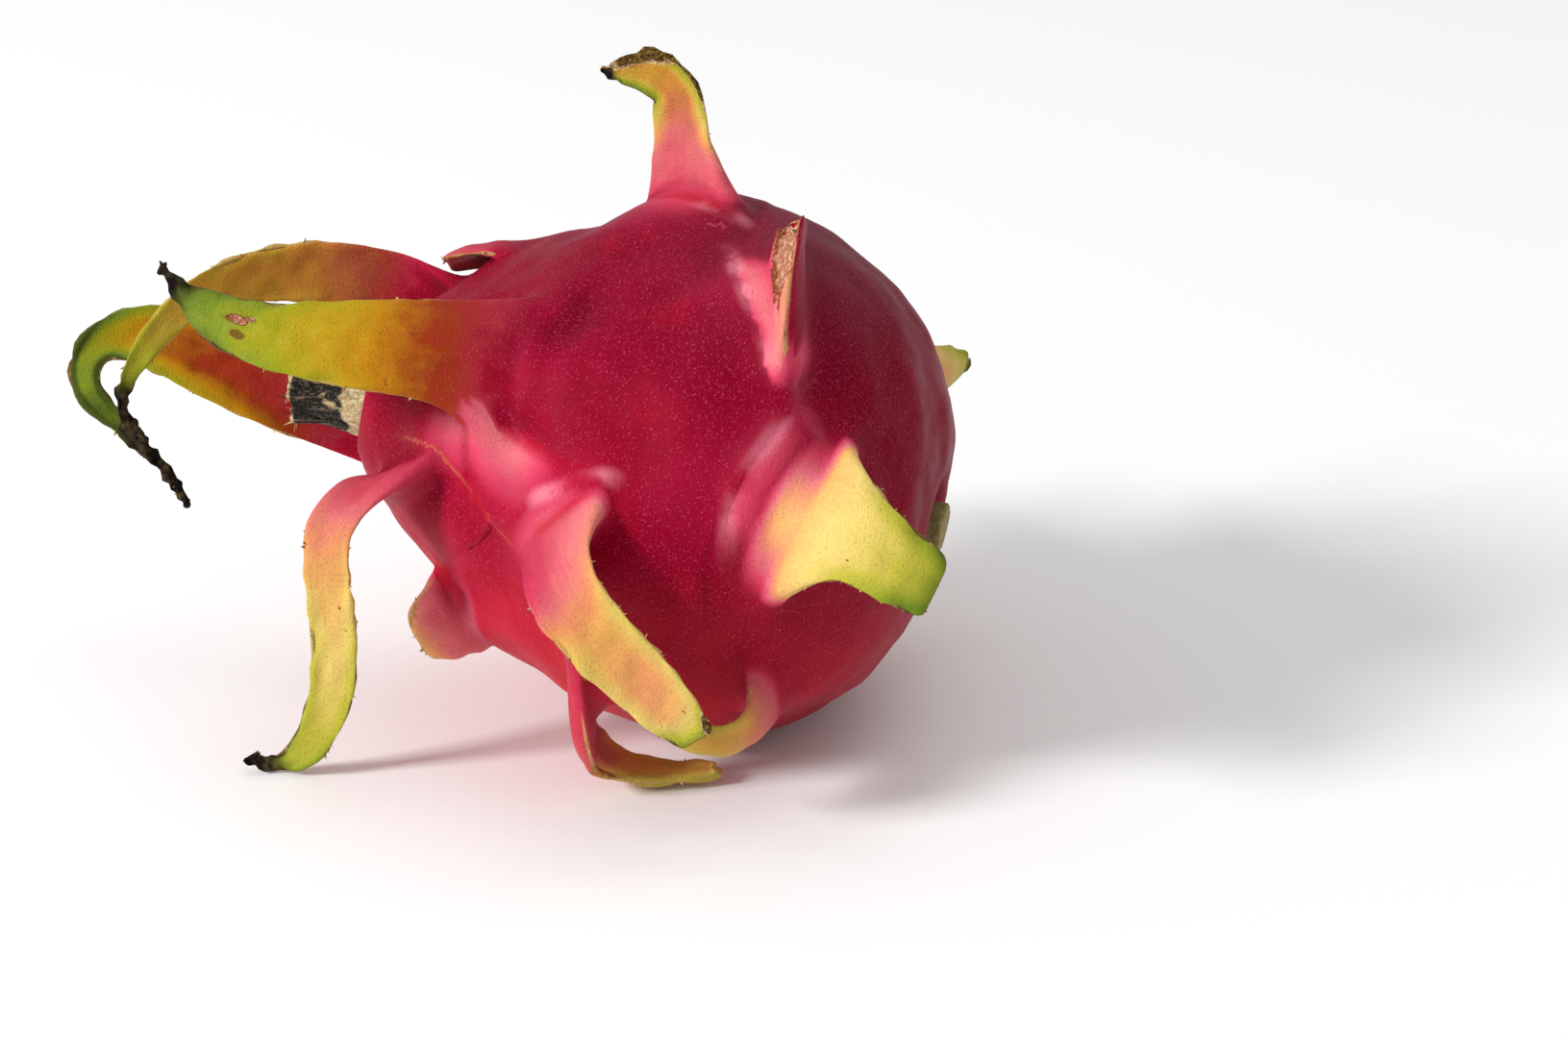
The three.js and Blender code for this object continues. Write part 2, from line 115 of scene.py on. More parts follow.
REACH, SKIN_LINE = smooth_line(SKIN)
SKIN_LENGTH = REACH[-1]
ROW_HEIGHT = SKIN_LENGTH / ROWS
SKIN_TANGENT = np.gradient(SKIN_LINE, REACH, axis=0)
SKIN_TANGENT /= np.linalg.norm(SKIN_TANGENT, axis=1, keepdims=True)


def on_skin(reach, table, column):
    """What the table says at a place that is this far along the skin from the stem's rim."""
    return np.interp(np.clip(reach, 0, SKIN_LENGTH), REACH, table[:, column])


def reach_of(station):
    return np.interp(station, SKIN_LINE[:, 0], REACH)


class Bract:
    """A leafy bract, and the faces of the skin that its root takes up.

    Angles are in degrees, and lists run evenly from root to tip. at is the station and azimuth of its root,
    root how broad that is and turn how far it is turned out of its ring. lean is measured from the fruit's
    axis, sway round it, and twist is how far the blade turns about its own length. raised is how far the skin
    is raised under the root, how far that reaches towards the nose, and the depth of the dip beyond. ripe is
    the colour along the bract, from 0 crimson through pink and yellow to 1 green; rim is added to it at the
    edges, slant towards one edge near the root, and outer is the share of it that the stem side has. olive is
    1 where the colours are brown rather than pink. flush is the colour of the skin in front of the root, how
    far that reaches and how broad it is. dead is the share of the length beyond which the bract has withered,
    and curl the length and the bend of its shrivelled end.
    """

    turn, sway, twist, cup, thickness, raised = 0, [0], [0], 0.25, 2.2, (3.2, 5, 1.2)
    rim, flush, slant, outer, olive, dead, curl = 0.1, (0, 5, 10), 0, 1, [0.1], 2, (0, 0)

    def __init__(self, name, at, **grown):
        self.__dict__.update(grown, name=name)
        self.reach, self.angle = reach_of(at[0]), radians(at[1])
        self.cos, self.sin = cos(radians(self.turn)), sin(radians(self.turn))
        self.radius = on_skin(self.reach, SKIN_LINE, 1)
        self.row = rounded(self.reach / ROW_HEIGHT - 0.5)
        self.span = max(4, rounded(self.root / (self.radius * COLUMN_ANGLE)))
        self.column = rounded(self.angle / COLUMN_ANGLE - self.span / 2)


BRACTS = [
    Bract(
        "crown", at=(50, 100), root=25, turn=48, length=30.5, raised=(5, 20, 0),
        width=[20, 12, 10.5, 11, 10, 7, 3], lean=[57, 64, 88, 68, 8, -12, -20],
        sway=[-5, -5, -15, -8, 0, 0, 0], twist=[0, 15, 20, 25, 30, 30, 30],
        ripe=[0.26, 0.29, 0.31, 0.37, 0.47, 0.53, 0.56], rim=0.4, flush=(0.22, 20, 12),
        olive=[0.25, 0.25, 0.4, 0.7, 0.8, 0.8, 0.8], dead=0.97, curl=(1.5, -30),
    ),
    Bract(
        "shoulder", at=(29, 60), root=32, turn=18, length=13, raised=(5, 12, 0),
        width=[29, 20, 8], lean=[90, 90, 84], sway=[10, 35, 55],
        ripe=[0.34, 0.36, 0.38, 0.42], rim=0.02, flush=(0.14, 12, 16), outer=0,
    ),
    Bract(
        "middle", at=(18, 15), root=28, turn=-15, length=26, raised=(5, 13, 0),
        cup=-0.12, width=[22, 16, 14, 11.5, 10.5], lean=[130, 142, 160, 156, 155],
        sway=[40, 5, -65, -110, -155],
        ripe=[0.42, 0.56, 0.6, 0.62, 0.64, 0.68, 0.74, 0.82, 0.92], rim=0.14, flush=(0.5, 8, 11),
    ),
    Bract(
        "apron", at=(53.5, 1), root=22, turn=-40, length=43, raised=(4.5, 11, 0),
        width=[16, 14, 13, 12.3, 11.2, 6.5],
        lean=[115, 127, 146, 143, 140, 137], sway=[-10, -38, -78, -100, -100, -95],
        ripe=[0.2, 0.25, 0.33, 0.46, 0.47, 0.45, 0.5, 0.84], rim=0.14, flush=(0.24, 11, 11), slant=0.14,
        olive=[0.1, 0.3, 0.5, 0.25, 0.2],
    ),
    Bract(
        "strap", at=(84, -8), root=20, turn=-50, length=67.5,
        width=[14, 9, 8, 8, 8, 7.5, 6, 2.5], lean=[70, 55, 98, 108, 96, 82, 60, -20],
        sway=[20, -22, -80, -82, -82, -76, -82, -40], twist=[0, -40, -60, -60, -60, -60, -60, -60],
        ripe=[0.12, 0.26, 0.38, 0.47, 0.57, 0.64, 0.7, 0.78, 0.92], flush=(0.15, 5, 10), olive=[0.3],
        dead=0.94, curl=(3, -90),
    ),
    Bract(
        "lobe", at=(71, -46), root=22, turn=20, length=9,
        width=[18, 13, 8], lean=[70, 62, 45], sway=[36, 12, -22], twist=[10, 20],
        ripe=[0.26, 0.31, 0.35, 0.5], rim=0.02, flush=(0.3, 6, 11), olive=[0],
    ),
    Bract(
        "prop", at=(45, -31), root=16, length=37, cup=-0.3, thickness=4.2,
        width=[11.5, 11, 10.5, 7.5, 5.5, 3.4], lean=[87, 88, 98, 146, 170, 160, 158],
        sway=[-35, -66, -105, -85, -160, -175, -190], twist=[0, -20, -30, -25, -20],
        ripe=[0.16, 0.2, 0.24, 0.34, 0.46, 0.5, 0.5], rim=0.15, flush=(0.15, 5, 8), olive=[0.6],
        curl=(1.5, 40),
    ),
    Bract(
        "hook", at=(19, -32), root=18, length=25.5,
        width=[13, 8.5, 6.5, 5.5, 3.5], lean=[100, 74, 30, 12, 50], sway=[14, 13, 20, 80, 122],
        ripe=[0.2, 0.34, 0.48, 0.56, 0.6], flush=(0.18, 7, 9), olive=[0.2, 0.5, 0.7, 0.7],
        curl=(1.5, 60),
    ),
    Bract(
        "leaf", at=(69, 38), root=24, length=60,
        width=[19, 17, 15.2, 11.6, 9.2, 2.5], lean=[33, 14, 10, 8, 13, 40],
        sway=[-30, -40, -109, -138, -280, -280],
        ripe=[0.08, 0.2, 0.3, 0.4, 0.52, 0.61, 0.7, 0.8, 0.9, 0.95], rim=0.08, flush=(0.12, 6, 12), olive=[1],
        dead=0.93, curl=(4, -70),
    ),
    Bract(
        "arch", at=(89, 145), root=21, length=79,
        width=[16, 13.3, 11.1, 8.8, 6, 4, 2.5], lean=[-2, 8, 21, 40, 60, 78, 110],
        sway=[-43, -101, -167, -166, -193, -203, -261], twist=[10, 30, 35, 40, 50, 60, 60],
        ripe=[0.0, 0.1, 0.28, 0.41, 0.45, 0.5, 0.56, 0.66, 0.84, 1.0], rim=0.06, olive=[0.84],
        dead=0.88, curl=(9, 110),
    ),
    Bract(
        "trough", at=(90, -145), root=24, length=100,
        width=[20, 17, 16.5, 16.5, 16, 12, 6.3, 5.2, 3.8, 2], lean=[0, 6, 12, 16, 16, 12, 70, 158, 144, 140],
        sway=[-240, -130, -170, -150, -160, -200, -275, -290, -310, -260],
        ripe=[0.0, 0.08, 0.16, 0.22, 0.28, 0.38, 0.76, 0.94, 1.0, 1.0], rim=0.36, olive=[1],
        dead=0.86, curl=(6, 170),
    ),
    Bract(
        "ear", at=(80, 118), root=17, length=13, raised=(4, 9, 0), thickness=3,
        width=[15, 12, 8], lean=[-18, -30, -34],
        ripe=[0.05, 0.15, 0.28], rim=0.05, olive=[0.5],
    ),
]

# The bracts of the other side follow one spiral. Those near the stem are short and bent back, and each one
# nearer to the nose is longer and points further forward.
BACK_BRACT_COUNT = 8
BACK_STATIONS = (16, 65)
BACK_AZIMUTHS = (152, 236)
GOLDEN_SHARE = 0.618
BACK_LEAN = (122, 30)
BACK_ROOT = (27, 21)
BACK_WIDTH = (20, 16)
BACK_LENGTH = (20, 38)
BACK_SPREAD = (6, 14, 6, 20, 50)  # of azimuth, lean, length, and of sway at the middle and at the tip
BACK_LOW = (190, 230)  # azimuths from and up to which they bend away from the table, by this many degrees
BACK_LIFT = 35


def seeded_scatter(seed):
    """A repeatable run of numbers from minus a half up to a half."""
    state = seed
    while True:
        state = state * 16807 % 2147483647
        yield state / 2147483647 - 0.5


scatter = seeded_scatter(7)
for number in range(BACK_BRACT_COUNT):
    share = number / (BACK_BRACT_COUNT - 1)
    aside, leaning, longer, mid_sway, tip_sway = (spread * next(scatter) for spread in BACK_SPREAD)
    azimuth = mix(*BACK_AZIMUTHS, (number + 2) * GOLDEN_SHARE % 1) + aside
    lean = mix(*BACK_LEAN, share) + leaning
    lift = BACK_LIFT * smooth(azimuth, *BACK_LOW)
    BRACTS.append(
        Bract(
            f"back{number}", at=(mix(*BACK_STATIONS, share), azimuth), root=mix(*BACK_ROOT, share),
            length=mix(*BACK_LENGTH, share) + longer, width=[mix(*BACK_WIDTH, share), 14, 12, 9, 3],
            lean=[(lean + 80) / 2, lean, lean - 5, lean - 15, lean - 30],
            sway=[-lift, mid_sway - lift, tip_sway - lift],
            ripe=[0.16, 0.26, 0.42, 0.56, 0.7, 0.84], rim=0.14, flush=(0.18, 5, 12),
            olive=[0.15 + 0.4 * share], dead=0.95, curl=(1.5, 30),
        )
    )

# Each bract stands on a ridge that runs back towards the stem, and has a dip in front of it, in its axil.
RIDGE_BREADTH = 0.42
RIDGE_WIDENING = 0.3
RIDGE_LENGTH = 17
AXIL_PLACE = 6
AXIL_LENGTH = 4
PLAIN_AT_STEM = 0.1
PLAIN_AT_NOSE = 0.93


def root_place(bract, reach, angle):
    """A place on the skin seen from a bract's root: across the root, and along the skin to the nose."""
    x = nearest(angle - bract.angle) * on_skin(reach, SKIN_LINE, 1)
    y = reach - bract.reach
    return x * bract.cos + y * bract.sin, y * bract.cos - x * bract.sin


def relief(reach, angle):
    height = np.zeros(np.broadcast(reach, angle).shape)
    for bract in BRACTS:
        across, along = root_place(bract, reach, angle)
        ridge, front, axil = bract.raised
        breadth = RIDGE_BREADTH * bract.root + RIDGE_WIDENING * np.maximum(0, -along)
        rise = ridge * bell(along / np.where(along < 0, RIDGE_LENGTH, front))
        height += bell(across / breadth) * (rise - axil * bell((along - AXIL_PLACE) / AXIL_LENGTH))
    return height


def ring_point(station, radius, angle):
    """Places in the fruit's own frame: along its axis, to the front, and up."""
    angle = np.asarray(angle, float)
    return np.stack(np.broadcast_arrays(station, radius * np.cos(angle), radius * np.sin(angle)), -1)


def skin_point(reach, angle):
    share = np.clip(reach / SKIN_LENGTH, 0, 1)
    height = relief(reach, angle) * (smooth(share, 0, PLAIN_AT_STEM) * fade(share, PLAIN_AT_NOSE, 1))
    station = on_skin(reach, SKIN_LINE, 0) - on_skin(reach, SKIN_TANGENT, 1) * height
    radius = on_skin(reach, SKIN_LINE, 1) + on_skin(reach, SKIN_TANGENT, 0) * height
    return ring_point(station, radius, angle)


# The surface is a cage of four-sided faces: rings round the fruit, drawn in near each root so that the slot
# that the bract grows out of has the root's place, width and turn.
ROOT_THICKNESS = 4.5
PULL_LENGTH = 5
PULL_LENGTH_TURNED = 10
PULL_END = 2.3


def settle(reach, angle):
    """Where places on an even net of rows and columns go, so that each root finds its slot."""
    total, pull_reach, pull_angle = np.zeros((3, *reach.shape))
    for bract in BRACTS:
        slot_angle = (bract.column + bract.span / 2) * COLUMN_ANGLE
        slot_reach = (bract.row + 0.5) * ROW_HEIGHT
        across = nearest(angle - slot_angle) * bract.radius
        along = reach - slot_reach
        half_span = bract.span / 2 * COLUMN_ANGLE * bract.radius
        distance = np.hypot(across / half_span, along / (PULL_LENGTH + PULL_LENGTH_TURNED * abs(bract.sin)))
        weight = fade(distance, 1, PULL_END)
        wide = across * bract.root / (2 * half_span)
        tall = along * ROOT_THICKNESS / ROW_HEIGHT
        target_across = wide * bract.cos - tall * bract.sin + nearest(bract.angle - slot_angle) * bract.radius
        target_along = wide * bract.sin + tall * bract.cos + bract.reach - slot_reach
        total += weight
        pull_angle += weight * (target_across - across) / bract.radius
        pull_reach += weight * (target_along - along)
    share = 1 / np.maximum(1, total)
    return reach + pull_reach * share, angle + pull_angle * share


column_angles = np.arange(COLUMNS) * COLUMN_ANGLE
even = np.array(np.meshgrid(np.arange(ROWS + 1) * ROW_HEIGHT, column_angles, indexing="ij"))
settled = np.array(settle(*even))
settled[:, [0, ROWS]] = even[:, [0, ROWS]]
ring_places = [
    *(ring_point(station, radius, column_angles) for station, radius in STEM_HOLLOW),
    *skin_point(*settled),
    *(ring_point(station, radius, column_angles) for station, radius in NOSE_HOLLOW),
]
first_skin_ring = len(STEM_HOLLOW)
last_ring = len(ring_places) - 1
stem_middle = len(ring_places) * COLUMNS
nose_middle = stem_middle + 1
points = [tuple(place) for ring in ring_places for place in ring]
points += [(STEM_HOLLOW[0][0], 0, 0), (NOSE_HOLLOW[-1][0], 0, 0)]

taken = {
    (bract.row + first_skin_ring, (bract.column + i) % COLUMNS) for bract in BRACTS for i in range(bract.span)
}
faces = []
for ring in range(last_ring):
    for column in range(COLUMNS):
        if (ring, column) in taken:
            continue
        near, far, following = ring * COLUMNS, (ring + 1) * COLUMNS, (column + 1) % COLUMNS
        faces.append((near + column, near + following, far + following, far + column))
for column in range(COLUMNS):
    following = (column + 1) % COLUMNS
    last = last_ring * COLUMNS
    faces.append((following, column, stem_middle))
    faces.append((last + column, last + following, nose_middle))

SPINE_STEPS = 60
SECTION_LENGTH = 5.2
ROOT_CHANGE = 9
EDGE_THINNING = 0.6
TIP_THINNING = 0.3
CURL_STEPS = 4
CURL_NARROWING = 0.4
WITHERING = (-0.12, 0.04)  # from where to where about its dead share a bract narrows
WITHERED_WIDTH = 0.6  # what is left of the width of a withered part, and of its thickness
WITHERED_THICKNESS = 0.65


def turned(vector, axis, angle):
    return (
        vector * cos(angle)
        + np.cross(axis, vector) * sin(angle)
        + axis * np.dot(axis, vector) * (1 - cos(angle))
    )


def unit(vector):
    return vector / np.linalg.norm(vector)


def spine_of(bract):
    """The line a bract grows along: places, and there the directions of its length, width and nose side. Its
    shrivelled end runs on past the blade in equal steps, bending towards the nose side."""
    outward = ring_point(0, 1, bract.angle)
    around = np.cross([1, 0, 0], outward)
    shares = np.linspace(0, 1, SPINE_STEPS + 1)
    lean, sway = (np.radians(along_list(values, shares))[:, None] for values in (bract.lean, bract.sway))
    headings = np.cos(lean) * [1, 0, 0] + np.sin(lean) * (np.cos(sway) * outward + np.sin(sway) * around)
    place = skin_point(bract.reach, bract.angle)
    uphill = unit(skin_point(bract.reach + 1, bract.angle) - skin_point(bract.reach - 1, bract.angle))
    width = around * bract.cos + uphill * bract.sin
    direction = headings[0]
    spine = []
    for share, heading in zip(shares, headings):
        axis = np.cross(direction, heading)
        if np.linalg.norm(axis) > 1e-9:
            width = turned(width, unit(axis), acos(np.clip(np.dot(direction, heading), -1, 1)))
        direction = heading
        width = unit(width - direction * np.dot(width, direction))
        blade_width = turned(width, direction, radians(along_list(bract.twist, share)))
        spine.append((place, direction, blade_width, np.cross(direction, blade_width)))
        place = place + direction * bract.length / SPINE_STEPS
    curl_length, bend = bract.curl
    place, direction, blade_width, face = spine[-1]
    for _ in range(CURL_STEPS if curl_length else 0):
        direction = turned(direction, blade_width, radians(bend) / CURL_STEPS)
        place = place + direction * curl_length / CURL_STEPS
        spine.append((place, direction, blade_width, np.cross(direction, blade_width)))
    return spine


# What each cage point carries: which bract it is on, how much it is blade, how far out from the root it is,
# where across the blade from -1 to 1, and on which side of it, 1 for the nose side and -1 for the stem side.
CARRIED = ("owner", "blade", "out", "across", "side")
carried = [[0.0] * len(CARRIED) for _ in points]
for number, bract in enumerate(BRACTS, 1):
    spine, span = spine_of(bract), bract.span
    near = (bract.row + first_skin_ring) * COLUMNS
    slot = [near + (bract.column + i) % COLUMNS for i in range(span + 1)]
    across = np.linspace(-1, 1, span + 1)
    root = {-1: slot, 1: [index + COLUMNS for index in slot]}
    for side, row in root.items():
        for i, index in enumerate(row):
            carried[index][3:] = across[i], side
    rows = root
    sections = max(3, ceil(bract.length / SECTION_LENGTH))
    shares = [section / sections for section in range(1, sections + 1)]
    stops = [(share, rounded(share * SPINE_STEPS)) for share in shares]
    for step in range(1, len(spine) - SPINE_STEPS):
        stops.append((1 + step / CURL_STEPS * bract.curl[0] / bract.length, SPINE_STEPS + step))
    for share, spine_step in stops:
        place, direction, width, face = spine[spine_step]
        blade = smooth(share * bract.length, 0, ROOT_CHANGE)
        withered = smooth(share, bract.dead + WITHERING[0], bract.dead + WITHERING[1])
        narrowing = 1 - CURL_NARROWING * max(0, spine_step - SPINE_STEPS) / CURL_STEPS
        half = along_list(bract.width, share) / 2 * mix(1, WITHERED_WIDTH, withered) * narrowing
        thinning = 1 - TIP_THINNING * min(1, share) ** 2
        thickness = bract.thickness * thinning * mix(1, WITHERED_THICKNESS, withered)
        drawn = {}
        for side in (-1, 1):
            rise = bract.cup * half * across**2 + side * thickness * (1 - EDGE_THINNING * across**2) / 2
            drawn[side] = []
            for i, index in enumerate(root[side]):
                root_point = np.array(points[index]) + place - spine[0][0]
                blade_point = place + width * across[i] * half + face * rise[i]
                drawn[side].append(len(points))
                points.append(tuple(mix(root_point, blade_point, blade)))
                carried.append([number, 1, share * bract.length, across[i], side])
        outer, inner, next_outer, next_inner = rows[-1], rows[1], drawn[-1], drawn[1]
        for i in range(span):
            faces.append((outer[i], outer[i + 1], next_outer[i + 1], next_outer[i]))
            faces.append((inner[i + 1], inner[i], next_inner[i], next_inner[i + 1]))
        faces.append((inner[0], outer[0], next_outer[0], next_inner[0]))
        faces.append((outer[-1], inner[-1], next_inner[-1], next_outer[-1]))
        rows = drawn
    outer, inner = rows[-1], rows[1]
    for i in range(span):
        faces.append((outer[i], outer[i + 1], inner[i + 1], inner[i]))


scene = bpy.context.scene


def in_scene(name, data):
    """A new object in the scene."""
    thing = bpy.data.objects.new(name, data)
    scene.collection.objects.link(thing)
    return thing


def plain_mesh(thing):
    """An object's mesh with its modifiers worked in."""
    return bpy.data.meshes.new_from_object(thing.evaluated_get(bpy.context.evaluated_depsgraph_get()))


def read(data, key, width=1):
    """What a mesh holds under this key, in rows of this width."""
    values = np.empty(width * len(data), np.float32)
    data.foreach_get(key, values)
    return values.reshape(-1, width).astype(float)


def write(mesh, name, values):
    """Gives each vertex of a mesh a value, or a vector, under this name."""
    kind, key = ("FLOAT", "value") if np.ndim(values) == 1 else ("FLOAT_VECTOR", "vector")
    mesh.attributes.new(name, kind, "POINT").data.foreach_set(key, np.ravel(values).astype(np.float32))


# The cage is made smooth, and what it carries is spread over the finer mesh.
LEAST_BLADE = 0.02
cage = bpy.data.meshes.new("cage")
cage.from_pydata(points, [], faces)
for name, values in zip(CARRIED, zip(*carried)):
    write(cage, name, values)
cage_object = in_scene("cage", cage)
smoothing = cage_object.modifiers.new("smoothing", "SUBSURF")
smoothing.levels = smoothing.render_levels = 2
skin_mesh = plain_mesh(cage_object)
bpy.data.objects.remove(cage_object)
bpy.data.meshes.remove(cage)

place = read(skin_mesh.vertices, "co", 3)
numbered, blade, out, across, side = (
    read(skin_mesh.attributes[name].data, "value")[:, 0] for name in CARRIED
)
owner = np.rint(numbered / np.maximum(blade, LEAST_BLADE)).astype(int) * (blade > LEAST_BLADE)
edges = np.array([tuple(edge.vertices) for edge in skin_mesh.edges])
valence = np.bincount(edges.ravel(), minlength=len(place))[:, None]


def averaged(values, times):
    """Each vertex's value brought to the mean of its neighbours', so many times over."""
    first, second = edges.T
    for _ in range(times):
        total = np.zeros_like(values)
        for axis, column in enumerate(values.T):
            total[:, axis] = np.bincount(first, column[second], len(column)) + np.bincount(
                second, column[first], len(column)
            )
        values = total / valence
    return values


WAVES = 24
WAVE_SPREAD = (0.7, 1.6)  # how much shorter and longer than the size asked for its waves are
WAVE_HEIGHT = 0.7


def ripple(places, size, seed):
    """A smooth random rise and fall, about from -1 to 1, whose swells are about this size."""
    draw = np.random.default_rng(seed)
    directions = draw.normal(size=(WAVES, 3))
    directions /= np.linalg.norm(directions, axis=1, keepdims=True)
    rates = 2 * pi / (size * draw.uniform(*WAVE_SPREAD, WAVES))
    phases = draw.uniform(0, 2 * pi, WAVES)
    return np.sin(places @ (directions * rates[:, None]).T + phases).sum(1) * sqrt(2 / WAVES) * WAVE_HEIGHT


# Folds of the skin between the bracts: a line of [station, azimuth], and how far the skin is raised to the
# left and to the right of it, seen from outside with the line running up, each with how far that reaches.
# The marks, in the order of LINE_WIDTHS, are the strengths of a painted highlight along a crest, a red
# crease, a thin dead edge and painted shade in a pit along it; glow is how pink the skin to the right of it
# is, and how far that reaches.
CREST = [[26, 0], [28, 10], [28.2, 18], [26.8, 25], [24.8, 32], [23.8, 40], [24.5, 48]]
FOLDS = [
    ([[64, 57], [61, 55], [60, 51], [63, 47], [68, 45]], (-2.6, 4), (-2.2, 4.5), dict(dark=0.8)),
    (
        [[86, 21], [80, 22], [72, 24], [66, 19.5], [61, 17.5], [55, 15.5], [49, 15.5]],
        (-1.0, 3), (1.2, 6), dict(red=0.7, glow=(0.31, 11)),
    ),
    ([[69, 22], [66, 20], [63, 17]], (-1.6, 2.4), (0.2, 1), dict(dark=0.25)),
    (
        [[92, 0], [86, 6], [80, 7], [75, 4], [70, -1], [64, -6], [58, -7]],
        (1.2, 6), (-1.4, 3.5), dict(dry=0.7, red=0.5),
    ),
    ([[60, 5], [56, 9], [52, 12.5], [48, 15.5], [45, 15]], (1.5, 2.6), (1.3, 2.6), dict(painted_highlight=0.55)),
    ([[57, 0], [54, 3], [51, 8], [48, 11]], (-0.9, 1.5), (-0.9, 1.5), dict(red=1)),
    (CREST, (0.8, 3), (1.0, 2.6), dict(painted_highlight=0.5, glow=(0.24, 7))),
    ([[25, 30], [24.5, 24], [23.5, 15], [23, 9], [21, 2]], (-0.4, 1.6), (-0.4, 1.6), dict(red=0.3)),
    (
        [[24.5, 40], [27.5, 45], [31.5, 52], [35.5, 60], [39, 69], [42, 78]],
        (0.9, 3.4), (0.1, 4), dict(painted_highlight=0.7, glow=(0.37, 6.5)),
    ),
    ([[58, 99], [54, 96], [49, 91.5], [45, 88.5], [41, 86]], (-0.9, 1.6), (-0.5, 2), dict(red=1)),
    ([[50, 91], [46, 88], [42, 86], [38, 84.5]], (1.0, 2.4), (1.2, 2.4), dict(painted_highlight=0.5)),
    ([[77, -32], [75, -35], [72, -39], [70, -45]], (-1.0, 1.5), (-1.0, 1.5), dict(red=1)),
    ([[28, 50], [25, 45], [20, 37], [17, 31]], (1.2, 4), (1.2, 4), dict(painted_highlight=0.2, glow=(0.15, 5))),
    (CREST[::-1], (0, 1), (0, 1), dict(glow=(0.14, 8))),
    ([[38, -24], [34, -16], [33, -6], [36, 4]], (-0.5, 2), (0.5, 4), {}),
    ([[52, -30], [47, -18], [44, -8], [44, 2]], (0.6, 4), (-0.4, 2), {}),
]
FOLD_SOFTNESS = 0.7
FOLD_ENDS = (0.25, 0.7)  # up to and from which share of its length a fold rises and falls
GLOW_END = 0.6
GLOW_EDGE = (-2.2, 1.8)
LINE_WIDTHS = dict(painted_highlight=1.3, red=1.1, dry=0.36, dark=3.6)
LINE_REACH = (1.5, 3.5)  # how many mm past its width a line is carried before its strength fades out


def beside(line, places, normals):
    """How far each place is from a line on the skin, more than 0 on its left, and its share of the line."""
    corners = [skin_point(reach_of(station), radians(azimuth)) for station, azimuth in line]
    _, line_places = smooth_line(corners, 12)
    direction = np.gradient(line_places, axis=0)
    direction /= np.linalg.norm(direction, axis=1, keepdims=True)
    distance2 = (places**2).sum(1)[:, None] - 2 * places @ line_places.T + (line_places**2).sum(1)
    closest = distance2.argmin(1)
    offset = places - line_places[closest]
    side = np.sign((np.cross(normals, direction[closest]) * offset).sum(1))
    return side * np.linalg.norm(offset, axis=1), closest / (len(line_places) - 1)


# What each bract gives its vertices.
RIM_BREADTH = 0.7  # as a share of the bract's half width
RIM_FROM = (0.15, 0.5)  # the share of a bract's length over which its rim takes on its colour
SLANT_TO = (0.1, 0.6)  # the share of its length over which its slant fades out
GRAIN_STRETCH = 0.12
GRAIN_STEP = 40.0  # so far apart that no two bracts have the same grain
WELL_INSIDE = 9.0
ripeness, olive, dead, share_out = np.zeros((4, len(place)))
rim_mm = np.full(len(place), WELL_INSIDE)
half_breadth = np.ones(len(place))
grain = place * 1.0
for number, bract in enumerate(BRACTS):
    mine = owner == number + 1
    share = np.clip(out[mine] / bract.length, 0, 1)
    half = along_list(bract.width, share) / 2
    share_out[mine], half_breadth[mine] = share, half
    rim_mm[mine] = (1 - np.abs(across[mine])) * half
    rim = bract.rim * smooth(share, *RIM_FROM) * fade(rim_mm[mine], 0, RIM_BREADTH * half)
    slant = bract.slant * across[mine] * fade(share, *SLANT_TO)
    whole = along_list(bract.ripe, share) + rim + slant
    ripeness[mine] = whole * mix(bract.outer, 1, smooth(side[mine], -0.7, 0.3))
    olive[mine] = along_list(bract.olive, share)
    dead[mine] = smooth(share, bract.dead - 0.05, bract.dead + 0.03)
    grain[mine, 0], grain[mine, 1] = across[mine] * half, out[mine] * GRAIN_STRETCH
    grain[mine, 2] = GRAIN_STEP * number
# The colour of the skin in front of each root, which the root's own colour starts from.
reach_here = reach_of(place[:, 0])
angle_here = np.arctan2(place[:, 2], place[:, 1])
flush = np.zeros(len(place))
for bract in BRACTS:
    across_here, along_here = root_place(bract, reach_here, angle_here)
    strength, front, breadth = bract.flush
    near_root = bell(across_here / breadth) * smooth(along_here, -5, -2)
    flush = np.maximum(flush, strength * near_root * fade(along_here, 0.3 * front, front))
edge_line = (1 - np.abs(side)) * smooth(share_out, 0.05, 0.25) * (blade > 0.5)

# Swells and creases too fine for the cage. Where the mesh is drawn too close together to carry them, it is
# evened out instead.
EDGE_TIGHT = (0.12, 0.3)  # mm between vertices
EDGE_ROOMY = (0.2, 0.6)
# How high the waves of the skin stand in mm, and those of a blade, of its margin and of a withered tip.
SWELL, FINE_SWELL, BLADE_WAVE, MARGIN_WAVE, TIP_WAVE = 0.35, 0.12, 0.16, 0.35, 0.5
MARGIN_BREADTH = 2.2
edge_mm = np.linalg.norm(place[edges[:, 0]] - place[edges[:, 1]], axis=1)
room = np.full(len(place), WELL_INSIDE)
for end in (0, 1):
    np.minimum.at(room, edges[:, end], edge_mm)
tight = averaged((fade(room, *EDGE_TIGHT) * fade(blade, 0, 0.1))[:, None], 1)
place = mix(place, averaged(place, 4), tight)
skin_mesh.vertices.foreach_set("co", place.ravel().astype(np.float32))
skin_mesh.update()
normal = read(skin_mesh.vertices, "normal", 3)
body = fade(blade, 0, 1)
height = body * (SWELL * ripple(place, 14, 1) + FINE_SWELL * ripple(place, 5, 2))
lines = {name: np.tile([99.0, 0, 0], (len(place), 1)) for name in LINE_WIDTHS}
glow = np.zeros(len(place))
